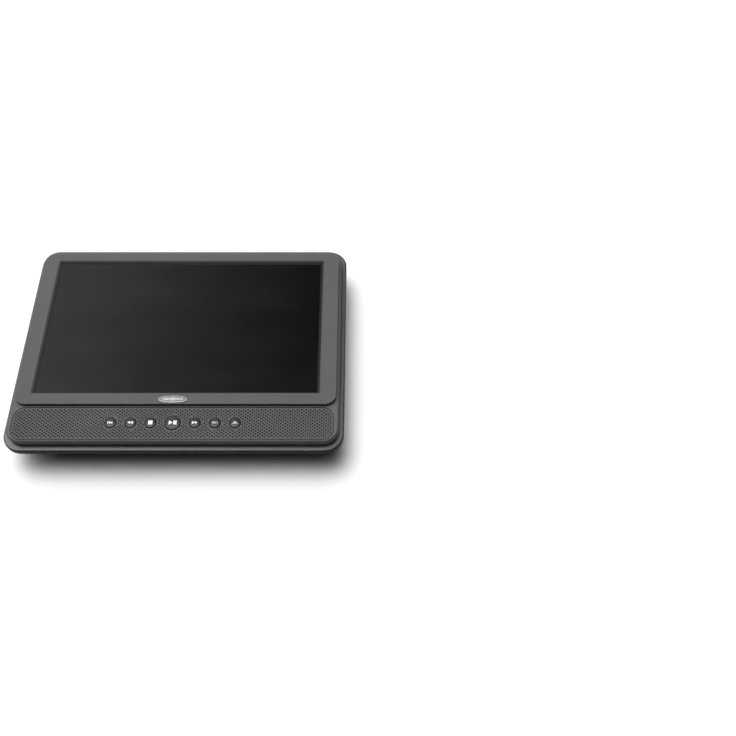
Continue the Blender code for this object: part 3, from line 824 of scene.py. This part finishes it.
# cloth behind the perforations
sh = Shell()
back = rrect(x0 + 0.4, x1 - 0.4, y0 + 0.4, y1 - 0.4, 6.6, 10)
e0 = sh.stack(back, [(0.0, z0 - 0.04), (0.0, z0 - 0.22)])
rk = [sh.stack(circle(kx, ky, kr + 0.1, 32), [(0.0, z0 - 0.04), (0.0, z0 - 0.22)]) for kx, ky, kr in rounds]
sh.region(e0[0], [r[0] for r in rk])
sh.region(e0[-1], [r[-1] for r in rk])
scrim = sh.make("grille_cloth", [MAT["cloth"]], 30)
stand_in(scrim, "housing", "speaker_cone")

# =============================================================================
# Keys: domed caps with inlaid transport signs
# =============================================================================
def dome_z(t, rise=0.35, rim=28.0):
    return rim + rise * (1 - t * t)


def tri(cx, cy, w, h, way=1):
    """Triangle pointing right (way 1) or left (way -1), centred on its box."""
    return [(cx - way * w / 2, cy - way * h / 2), (cx + way * w / 2, cy), (cx - way * w / 2, cy + way * h / 2)]


def bar(cx, cy, w, h):
    return [(cx - w / 2, cy - h / 2), (cx + w / 2, cy - h / 2), (cx + w / 2, cy + h / 2), (cx - w / 2, cy + h / 2)]


def tri_up(cx, cy, w, h):
    return [(cx - w / 2, cy - h / 2), (cx + w / 2, cy - h / 2), (cx, cy + h / 2)]


SIGNS = {
    "key_previous": [bar(-1.55, 0, 0.42, 1.9), tri(-0.55, 0, 1.35, 1.9, -1), tri(0.85, 0, 1.35, 1.9, -1)],
    "key_rewind": [tri(-0.98, 0, 1.85, 2.1, -1), tri(0.98, 0, 1.85, 2.1, -1)],
    "key_stop": [bar(0, 0, 2.9, 2.9)],
    "key_play_pause": [tri(-1.25, 0, 2.6, 3.2, 1), bar(1.05, 0, 0.9, 3.1), bar(2.35, 0, 0.9, 3.1)],
    "key_forward": [tri(-0.98, 0, 1.85, 2.1, 1), tri(0.98, 0, 1.85, 2.1, 1)],
    "key_next": [tri(-0.95, 0, 1.4, 1.9, 1), tri(0.5, 0, 1.4, 1.9, 1), bar(1.6, 0, 0.45, 1.9)],
    "key_source": [bar(0, -0.72, 4.0, 0.42), tri_up(0, 0.42, 3.2, 1.35)],
}
for name in KEYS:
    kx, ky, _ = mid(name)
    full = (lims(name)[1] - lims(name)[0]) / 2
    r = full - 1.2
    edge_r = 0.22
    profile = [(0.0, dome_z(0.0))]
    for t in (0.12, 0.25, 0.38, 0.5, 0.62, 0.74, 0.84, 0.91):
        profile.append((r * t, dome_z(t)))
    zt = dome_z(0.935)
    for k in range(1, 7):
        a = math.radians(15 * k)
        profile.append((r - edge_r + edge_r * math.sin(a), zt - edge_r + edge_r * math.cos(a)))
    profile += [(r, 24.65), (full - 0.2, 24.6), (full, 24.4), (full, 23.6), (full - 0.2, 23.4), (0.0, 23.4)]
    cap = turned(name + "_cap", profile, (kx, ky, 0.0), [MAT["key"]], 64)
    stand_in(cap, name, "key_plastic", name)
    parts = []
    for shape in SIGNS[name]:
        pts = [(kx + px, ky + py) for px, py in shape]
        fine = []
        n = len(pts)
        for i in range(n):
            a, b = pts[i], pts[(i + 1) % n]
            cuts = max(1, int(math.dist(a, b) / 0.25))
            fine += [(a[0] + (b[0] - a[0]) * k / cuts, a[1] + (b[1] - a[1]) * k / cuts) for k in range(cuts)]
        # rows of points across the shape keep the sign on the dome
        sh = Shell()
        lo, hi = sh.ring(fine, 0.0), None
        xs = [p[0] for p in fine]
        ys = [p[1] for p in fine]
        extra, gy = [], min(ys) + 0.13
        while gy < max(ys):
            gx = min(xs) + 0.13
            while gx < max(xs):
                if inside(gx, gy, fine) and min(math.dist((gx, gy), q) for q in fine) > 0.1:
                    extra.append((gx, gy))
                gx += 0.27
            gy += 0.27
        pts2 = [Vector(p) for p in fine + extra]
        n = len(fine)
        vv, _, tris, origin, _, _ = delaunay_2d_cdt(pts2, [(k, (k + 1) % n) for k in range(n)], [], 1, 1e-7, True)
        sh = Shell()

        def lift(p, up):
            t = math.hypot(p[0] - kx, p[1] - ky) / r
            return (p[0], p[1], dome_z(t) + up)

        top = sh.ring([lift(v, 0.035) for v in vv])
        low = sh.ring([lift(v, -0.08) for v in vv])
        used = [t for t in tris if inside(sum(vv[q].x for q in t) / 3, sum(vv[q].y for q in t) / 3, fine)]
        for t in used:
            sh.face([top[q] for q in t])
            sh.face([low[q] for q in reversed(t)])
        rimset = {}
        for t in used:
            for a, b in ((t[0], t[1]), (t[1], t[2]), (t[2], t[0])):
                rimset[frozenset((a, b))] = rimset.get(frozenset((a, b)), []) + [(a, b)]
        for both in rimset.values():
            if len(both) == 1:
                a, b = both[0]
                sh.face((top[b], top[a], low[a], low[b]))
        parts.append(sh.make("sign", [MAT["ink"]], 30))
    grey = name in ("key_next", "key_source")
    sign = joined(name + "_sign", parts, [MAT["ink_grey"] if grey else MAT["ink"]])
    stand_in(sign, name, None)

# =============================================================================
# Rear case: rim slab and thick half in one shell
# =============================================================================
x0, x1, y0, y1, z0, z1 = REAR
slab = rrect(x0, x1, y0, y1, 13.5, 18)
hump = rrect(*HUMP, 12.0, 18)
mouth = rrect(-111.5, 111.5, -77.5, 77.5, 8.0, 18)
room = rrect(x0 + 1.8, x1 - 1.8, y0 + 1.8, y1 - 1.8, 11.7, 18)
lair = rrect(HUMP[0] + 1.8, HUMP[1] - 1.8, HUMP[2] + 1.8, HUMP[3] - 1.8, 10.2, 18)
OPEN = (DOOR[0] - 0.35, DOOR[1] + 0.35, -70.95, 68.3)


door_gap = rrect(*OPEN, 6.35, 10, rear=1.7)
sh = Shell()
top = sh.stack(mouth, [(0.0, 19.9), (0.0, z1 - 0.15), (0.15, z1)])
side = sh.stack(slab, [(-1.2 + 1.2 * math.sin(math.radians(9 * k)), z1 - 1.2 + 1.2 * math.cos(math.radians(9 * k))) for k in range(11)]
                + [(-1.5 + 1.5 * math.cos(math.radians(11.25 * k)), SLAB_Z0 + 1.5 - 1.5 * math.sin(math.radians(11.25 * k))) for k in range(9)])
sh.strip(top[-1], side[0])
neck = sh.stack(hump, [(0.6 - 0.6 * math.sin(math.radians(22.5 * k)), SLAB_Z0 - 0.6 + 0.6 * math.cos(math.radians(22.5 * k))) for k in range(5)]
                + [(-3.0 + 3.0 * math.cos(math.radians(9 * k)), z0 + 3.0 - 3.0 * math.sin(math.radians(9 * k))) for k in range(11)])
cups = []
for sx, sy in SCREWS:
    cup = sh.stack(circle(sx, sy, 2.9, 28), [(0.3, SLAB_Z0), (0.0, SLAB_Z0 + 0.3), (0.0, 19.0)])
    sh.cap(cup[-1])
    cups.append(cup[0])
sh.region(side[-1], [neck[0]] + cups)
vents = []
for s in (-1, 1):
    for k in range(9):
        vy = -24.0 + 6.0 * k
        v = sh.stack(rrect(*sorted((s * 72.5, s * 90.5)), vy - 0.8, vy + 0.8, 0.79, 6),
                     [(0.2, z0), (0.0, z0 + 0.2), (0.0, z0 + 0.95)])
        sh.region(v[-1])
        vents.append(v[0])
gap = sh.stack(door_gap, [(0.25, z0), (0.0, z0 + 0.25), (0.0, z0 + 1.8)])
sh.region(neck[-1], [gap[0]] + vents)
low = sh.stack(lair, [(0.0, z0 + 1.8), (0.0, SLAB_Z0 + 1.8)])
sh.region(low[0], [gap[-1]])
up = sh.stack(room, [(0.0, SLAB_Z0 + 1.8), (0.0, 19.9)])
bosses = []
for sx, sy in SCREWS:
    boss = sh.stack(circle(sx, sy, 4.3, 24), [(0.0, SLAB_Z0 + 1.8), (0.0, 21.3)])
    sh.cap(boss[-1])
    bosses.append(boss[0])
sh.region(up[0], [low[-1]] + bosses)
sh.strip(up[-1], top[0])
rear = sh.make("rear_shell", [MAT["case"]], 30)

# openings for the sockets and controls
cut = []
jz = mid("headphone_jack_front")[2]
for name, r in (("headphone_jack_front", 3.3), ("headphone_jack_rear", 3.3), ("av_jack", 3.3), ("dc_jack", 4.3)):
    yy = mid(name)[1]
    zz = 10.4 if r < 4 else 11.0
    cut.append(turned("c", [(0.0, 90.0), (r, 90.0), (r, 96.7), (r + 0.3, 97.0), (r + 0.6, 99.0), (0.0, 99.0)], (0, yy, zz), steps=40, axis="X"))


def side_cut(yc, zc, w, h, r, flip=1):
    sh = Shell()
    ol = rrect(yc - w / 2, yc + w / 2, zc - h / 2, zc + h / 2, r, 5)
    rings = []
    for d, x in ((0.0, 92.0), (0.0, 96.7), (0.3, 97.0), (0.5, 99.0)):
        rings.append(sh.ring([(flip * x, p[0], p[1]) for p in ol(d)]))
    for a, b in zip(rings, rings[1:]):
        sh.strip(a, b)
    sh.cap(rings[0])
    sh.cap(rings[-1])
    return sh.make("c", [])


cut.append(side_cut(-33.0, 10.75, 13.6, 6.5, 0.7))
cut.append(side_cut(22.0, 10.2, 12.0, 3.0, 0.5))
cut.append(side_cut(40.5, 10.2, 6.4, 2.4, 0.5))
cut.append(side_cut(27.0, 5.85, 24.4, 2.6, 0.4, -1))
sh = Shell()
slot = rrect(-6.6, 6.6, -77.2, -70.2, 1.2, 6)
rings = sh.stack(slot, [(0.0, 4.4), (0.0, 0.6)])
sh.cap(rings[0])
sh.cap(rings[1])
cut.append(sh.make("c", []))
carve(rear, cut, angle=30)
rear.data.materials.clear()
rear.data.materials.append(MAT["case"])
stand_in(rear, "housing", "case_plastic", "rear_case")

# =============================================================================
# Disc door: thin moulded lid with knuckles, a hook, disc rings and a finger grip
# =============================================================================
x0, x1, y0, y1, z0, z1 = DOOR
z1 = 3.4
lid = rrect(x0, x1, -70.6, 67.4, 6.0, 10, rear=1.5)  # the node's box also holds the hook
sh = Shell()
skin = sh.stack(lid, [(-0.5 + 0.5 * math.sin(math.radians(18 * k)), z0 + 0.5 - 0.5 * math.cos(math.radians(18 * k))) for k in range(6)]
                + [(0.0, z1 - 0.15), (-0.15, z1)])
sh.region(skin[-1])
flat = []
outer_g = sh.stack(circle(DISC_X, DISC_Y, 56.0, 120), [(0.15, z0), (0.0, z0 + 0.22)])
inner_g = sh.stack(circle(DISC_X, DISC_Y, 54.8, 120), [(-0.15, z0), (0.0, z0 + 0.22)])
hub_o = sh.stack(circle(DISC_X, DISC_Y, 17.0, 64), [(0.12, z0), (0.0, z0 + 0.2)])
hub_i = sh.stack(circle(DISC_X, DISC_Y, 16.2, 64), [(-0.12, z0), (0.0, z0 + 0.2)])
sh.strip(outer_g[-1], inner_g[-1])
sh.strip(hub_o[-1], hub_i[-1])
arrow = sh.ring([(-4.2, -61.6), (0.0, -65.6), (4.2, -61.6)], z0)
arrow_in = sh.ring([(-3.6, -61.85), (0.0, -65.2), (3.6, -61.85)], z0 + 0.3)
sh.strip(arrow, arrow_in)
sh.face(arrow_in)
sh.region(skin[0], [outer_g[0], arrow])
sh.region(inner_g[0], [hub_o[0]])
sh.region(hub_i[0])
door = sh.make("disc_door_lid", [MAT["case"]], 30)
cut = []
for s_ in (-1, 1):
    for a in (37.4, 50.6):
        cut.append(block(s_ * a - 1.6, s_ * a + 1.6, HINGE_Y - 2.6, HINGE_Y + 4.0, 1.0, 6.0, 0.0, 1, "c"))
    cut.append(block(s_ * 44.0 - 5.3, s_ * 44.0 + 5.3, HINGE_Y - 1.3, HINGE_Y + 1.3, 2.45, 6.0, 0.0, 1, "c"))
for tool_ in cut:
    carve(door, [tool_], angle=30)
bits = [door]
for s_ in (-1, 1):
    bits.append(turned("k", [(1.05, -4.4), (1.45, -4.4), (1.68, -4.17), (1.68, 4.17), (1.45, 4.4), (1.05, 4.4)],
                       (s_ * 44.0, HINGE_Y, HINGE_Z), steps=32, axis="X"))
bits.append(block(-5.0, 5.0, -70.2, -68.6, 3.0, 6.4, 0.3, 3, "hook"))
bits.append(block(-5.0, 5.0, -71.6, -69.0, 5.3, 6.3, 0.25, 3, "nose"))
for b_ in bits:
    b_.data.materials.clear()
    b_.data.materials.append(MAT["case"])
door = joined("disc_door_fine", bits, [MAT["case"]])
stand_in(door, "disc_lid", "case_plastic", "disc_door")

# =============================================================================
# Door latch: slide with a ribbed thumb pad
# =============================================================================
bits = [block(-8.5, 8.5, -75.3, -71.95, 3.8, 4.9, 0.22, 3, "slide"),
        block(-5.9, 5.9, -75.0, -73.0, 2.15, 4.2, 0.25, 3, "pad")]
for k in range(-5, 6):
    bits.append(block(k * 1.0 - 0.22, k * 1.0 + 0.22, -74.75, -73.25, 1.92, 2.4, 0.12, 2, "rib"))
for b_ in bits:
    b_.data.materials.append(MAT["black"])
latch = joined("door_latch_fine", bits, [MAT["black"]])
stand_in(latch, "lid_latch", "black_plastic", "door_latch")

# =============================================================================
# Feet: soft pads with a rounded edge and a moulded ring
# =============================================================================
for i, (fx, fy) in enumerate(FEET):
    pad = turned(f"foot_{i + 1}_pad",
                 [(0.0, 1.3), (5.0, 1.3), (5.0, 0.62)]
                 + [(4.4 + 0.6 * math.cos(math.radians(15 * k)), 0.6 - 0.6 * math.sin(math.radians(15 * k))) for k in range(1, 7)]
                 + [(3.5, 0.0), (3.35, 0.28), (2.75, 0.28), (2.6, 0.02), (0.0, 0.02)],
                 (fx, fy, 0.0), [MAT["rubber"]], 48)
    stand_in(pad, "housing", "rubber", f"foot_{i + 1}")

# =============================================================================
# Case screws: domed heads with a cross recess, threaded shanks
# =============================================================================
for i, (fx, fy) in enumerate(SCREWS):
    thread = []
    z = 24.7
    while z > 18.9:
        thread += [(1.3, z), (1.02, z - 0.3)]
        z -= 0.6
    head = turned(f"case_screw_{i + 1}_fine",
                  [(0.0, 24.8)] + thread + [(1.02, 18.7), (2.5, 18.7), (2.5, 17.75)]
                  + [(2.5 * math.cos(math.radians(18 * k)), 17.75 - 0.75 * math.sin(math.radians(18 * k))) for k in range(1, 5)]
                  + [(0.0, 17.0)], (fx, fy, 0.0), [MAT["screw"]], 36)
    arms = []
    for turn in (0, 90):
        c = block(-0.32, 0.32, -1.35, 1.35, 16.5, 18.0, 0.0, 1, "c")
        for v in c.data.vertices:
            if v.co.z > 17.2 * M:
                v.co.y *= 0.55
                v.co.x *= 0.8
        c.matrix_world = Matrix.Translation((fx * M, fy * M, 0)) @ Matrix.Rotation(math.radians(turn + 12 + 37 * i), 4, "Z")
        arms.append(c)
    for arm in arms:
        carve(head, [arm], angle=30)
    head.data.materials.clear()
    head.data.materials.append(MAT["screw"])
    stand_in(head, "housing", "steel", f"case_screw_{i + 1}")

# =============================================================================
# Volume wheel, power switch, sockets in the right-hand wall
# =============================================================================
vx, vy, _ = mid("volume_wheel")
wheel = turned("volume_wheel_fine", [(1.5, 11.3), (5.6, 11.3), (5.75, 11.2), (6.1, 11.2), (6.32, 10.95), (6.32, 9.45), (6.1, 9.2), (5.75, 9.2), (5.6, 9.1), (1.5, 9.1)],
               (vx, vy, 0.0), [MAT["black"]], 240,
               shape=lambda a, r, h: r + (0.17 * math.cos(60 * a) if r > 6.2 else 0.0))
stand_in(wheel, "volume_dial", "black_plastic", "volume_wheel")

bits = [block(93.3, 94.8, 35.0, 43.2, 8.6, 11.8, 0.2, 3, "plate"),
        block(94.4, 98.05, 37.6, 40.4, 9.2, 11.2, 0.35, 4, "thumb")]
for k in (-1, 0, 1):
    bits.append(block(97.8, 98.35, 39.0 + 0.75 * k - 0.16, 39.0 + 0.75 * k + 0.16, 9.4, 11.0, 0.12, 2, "rib"))
knob = joined("power_knob_fine", bits, [MAT["black"]])
stand_in(knob, "power_slider", "black_plastic", "power_switch_knob")

for name in ("headphone_jack_front", "headphone_jack_rear", "av_jack"):
    jy = mid(name)[1]
    ring = turned(name + "_ring", [(1.82, 96.2), (1.82, 96.85), (1.95, 96.98), (2.45, 96.98), (2.6, 96.85), (2.6, 96.2)],
                  (0.0, jy, 10.4), [MAT["tin"] if name != "av_jack" else MAT["brass"]], 40, axis="X")
    stand_in(ring, "housing", "steel" if name != "av_jack" else None)
jy = mid("dc_jack")[1]
ring = turned("dc_jack_collar", [(2.8, 96.2), (2.8, 96.85), (2.95, 96.98), (3.7, 96.98), (3.88, 96.8), (3.88, 96.2)],
              (0.0, jy, 11.0), [MAT["black"]], 48, axis="X")
stand_in(ring, "housing", "black_plastic")
pin = turned("dc_jack_pin", [(0.0, 95.9), (0.45, 95.85), (0.78, 95.5), (0.8, 95.2), (0.8, 86.0), (0.0, 86.0)],
             (0.0, jy, 11.0), [MAT["tin"]], 24, axis="X")
stand_in(pin, "housing", "steel")
pads = []
for k, py in enumerate((-36.2, -34.0, -32.0, -29.8)):
    pads.append(block(86.0, 94.6 - (0.7 if k in (1, 2) else 0.0), py - 0.5, py + 0.5, 11.02, 11.14, 0.03, 1, "pad"))
contacts = joined("usb_contacts", pads, [MAT["brass"]])
stand_in(contacts, "housing", None)
sh = Shell()
rings = []
for d, x in ((0.0, 96.3), (0.0, 96.85), (-0.12, 96.98), (-0.5, 96.98), (-0.62, 96.85), (-0.62, 96.3)):
    rings.append(sh.ring([(x, p[0], p[1]) for p in rrect(-39.6, -26.4, 7.8, 13.8, 0.5, 4)(d)]))
for a, b in zip(rings, rings[1:] + rings[:1]):
    sh.strip(a, b)
stand_in(sh.make("usb_rim", [MAT["tin"]], 30), "housing", "steel")

# =============================================================================
# Turntable with rubber ring and clamp balls, pickup lens
# =============================================================================
tt = turned("turntable_fine",
            [(3.6, 11.6), (3.6, 8.5), (14.6, 8.4), (15.0, 8.1), (15.0, 7.5), (14.7, 7.2), (13.6, 7.2), (13.5, 7.42), (11.0, 7.42), (10.9, 7.2),
             (7.6, 7.2), (7.42, 7.0), (7.3, 5.9), (7.1, 5.2), (6.9, 4.95), (6.4, 4.7), (5.9, 4.6), (3.2, 4.6), (2.9, 4.9), (1.9, 4.9), (1.5, 4.65), (0.0, 4.65),
             (0.0, 6.0), (1.3, 6.0), (1.3, 11.6)], (DISC_X, DISC_Y, 0.0), [MAT["black"]], 72)
stand_in(tt, "disc_spinner", "black_plastic", "turntable")
ring = turned("turntable_pad", [(11.1, 7.42), (11.1, 7.12), (11.3, 7.04), (13.2, 7.04), (13.4, 7.12), (13.4, 7.42)],
              (DISC_X, DISC_Y, 0.0), [MAT["rubber"]], 72)
stand_in(ring, "disc_spinner", "rubber")
balls = []
for k in range(3):
    a = math.radians(90 + 120 * k)
    bm = bmesh.new()
    bmesh.ops.create_uvsphere(bm, u_segments=20, v_segments=12, radius=0.85 * M)
    bmesh.ops.translate(bm, verts=bm.verts, vec=Vector((DISC_X + 6.75 * math.cos(a), DISC_Y + 6.75 * math.sin(a), 6.1)) * M)
    balls.append(from_bm(bm, "ball", [MAT["ball"]]))
stand_in(joined("clamp_balls", balls, [MAT["ball"]]), "disc_spinner", "steel")
lx, ly, _ = mid("pickup_lens")
lens = turned("pickup_lens_fine",
              [(0.0, 11.1), (2.7, 11.1), (2.7, 9.7), (2.55, 9.55), (2.0, 9.55)]
              + [(2.0 * math.cos(math.radians(15 * k)), 9.55 - 0.42 * math.sin(math.radians(15 * k))) for k in range(1, 6)]
              + [(0.0, 9.13)], (lx, ly, 0.0), [MAT["lens"]], 48)
stand_in(lens, "focus_lens", "lens", "pickup_lens")

# Inner parts keep their frame shapes; their round sides are shaded smooth
for names in INNER.values():
    for n in names:
        me = nodes[n].data
        me.shade_smooth()
        me.set_sharp_from_angle(angle=math.radians(32))

# =============================================================================
# Camera, floor, light
# =============================================================================
cam_data = bpy.data.cameras.new("camera")
cam_data.lens = 41.736
cam_data.sensor_width = 36.0
cam_data.sensor_fit = "HORIZONTAL"
cam_data.clip_start = 0.01
cam = bpy.data.objects.new("camera", cam_data)
cam.location = (0.13505, -0.32522, 0.55937)
cam.rotation_euler = (math.radians(29.611), 0.0, 0.0)
scene.collection.objects.link(cam)
scene.camera = cam

bm = bmesh.new()
bmesh.ops.create_grid(bm, x_segments=2, y_segments=2, size=4.0)
ground = from_bm(bm, "floor", weighted=False)
m, nt, b = tree("floor_paper")
vec = coords(nt)
base = mix(nt, span(nt, noise(nt, vec, 120.0), 0.3, 0.7, 0.0, 1.0), (0.80, 0.80, 0.80), (0.83, 0.83, 0.83))
nt.links.new(base, b.inputs["Base Color"])
b.inputs["Roughness"].default_value = 0.9
b.inputs["Specular IOR Level"].default_value = 0.1
ground.data.materials.append(m)

world = bpy.data.worlds.new("studio")
scene.world = world
world.use_nodes = True
wt = world.node_tree
bg = wt.nodes["Background"]
wtc = node(wt, "ShaderNodeTexCoord")
lobe = node(wt, "ShaderNodeVectorMath", operation="DOT_PRODUCT")
wt.links.new(wtc.outputs["Generated"], lobe.inputs[0])
lobe.inputs[1].default_value = Vector((-0.29, 0.48, 0.84)).normalized()
peak = maths(wt, "POWER", maths(wt, "MAXIMUM", lobe.outputs["Value"], 0.0), 7.5)
glow = maths(wt, "ADD", maths(wt, "MULTIPLY", peak, 8.5), 0.012)
seen = node(wt, "ShaderNodeLightPath")
shown = node(wt, "ShaderNodeMix", data_type="FLOAT")
wt.links.new(seen.outputs["Is Camera Ray"], shown.inputs[0])
wt.links.new(glow, shown.inputs[2])
shown.inputs[3].default_value = 0.93
wt.links.new(shown.outputs[0], bg.inputs["Strength"])
bg.inputs["Color"].default_value = (1.0, 1.0, 1.0, 1.0)


def area(name, at, aim, size, power, size_y=None, spread=180):
    data = bpy.data.lights.new(name, "AREA")
    data.shape = "RECTANGLE" if size_y else "SQUARE"
    data.size = size
    if size_y:
        data.size_y = size_y
    data.energy = power
    data.spread = math.radians(spread)
    obj = bpy.data.objects.new(name, data)
    obj.location = at
    obj.rotation_euler = (Vector(aim) - Vector(at)).to_track_quat("-Z", "Y").to_euler()
    scene.collection.objects.link(obj)
    return obj


# graded card that the screen mirrors: bright to the left, dark to the right
sh = Shell()
card_pts = [(-1400.0, 350.0), (500.0, 350.0), (500.0, 1300.0), (-1400.0, 1300.0)]
sh.face(sh.ring(card_pts, 1205.0))
card = sh.make("graded_card", [], weighted=False)
m = bpy.data.materials.new("graded_card")
m.use_nodes = True
nt = m.node_tree
nt.nodes.clear()
tc = node(nt, "ShaderNodeTexCoord")
sep = node(nt, "ShaderNodeSeparateXYZ")
nt.links.new(tc.outputs["Object"], sep.inputs[0])
ramp = node(nt, "ShaderNodeValToRGB")
stops = ((0.0, 0.80), (0.151, 0.72), (0.419, 0.42), (0.686, 0.185), (0.887, 0.085), (1.0, 0.07))
while len(ramp.color_ramp.elements) < len(stops):
    ramp.color_ramp.elements.new(0.5)
for el, (where, v) in zip(ramp.color_ramp.elements, stops):
    el.position = where
    el.color = (v, v, v, 1.0)
nt.links.new(span(nt, sep.outputs["X"], -0.64, 0.05, 0.0, 1.0), ramp.inputs["Fac"])
em = node(nt, "ShaderNodeEmission")
nt.links.new(ramp.outputs["Color"], em.inputs["Color"])
em.inputs["Strength"].default_value = 1.0
out = node(nt, "ShaderNodeOutputMaterial")
nt.links.new(em.outputs[0], out.inputs["Surface"])
card.data.materials.append(m)
card.visible_camera = False
card.visible_shadow = False
card.visible_diffuse = False

scene.view_settings.view_transform = "Standard"
scene.view_settings.look = "None"
scene.view_settings.exposure = 0.0
scene.view_settings.gamma = 1.0
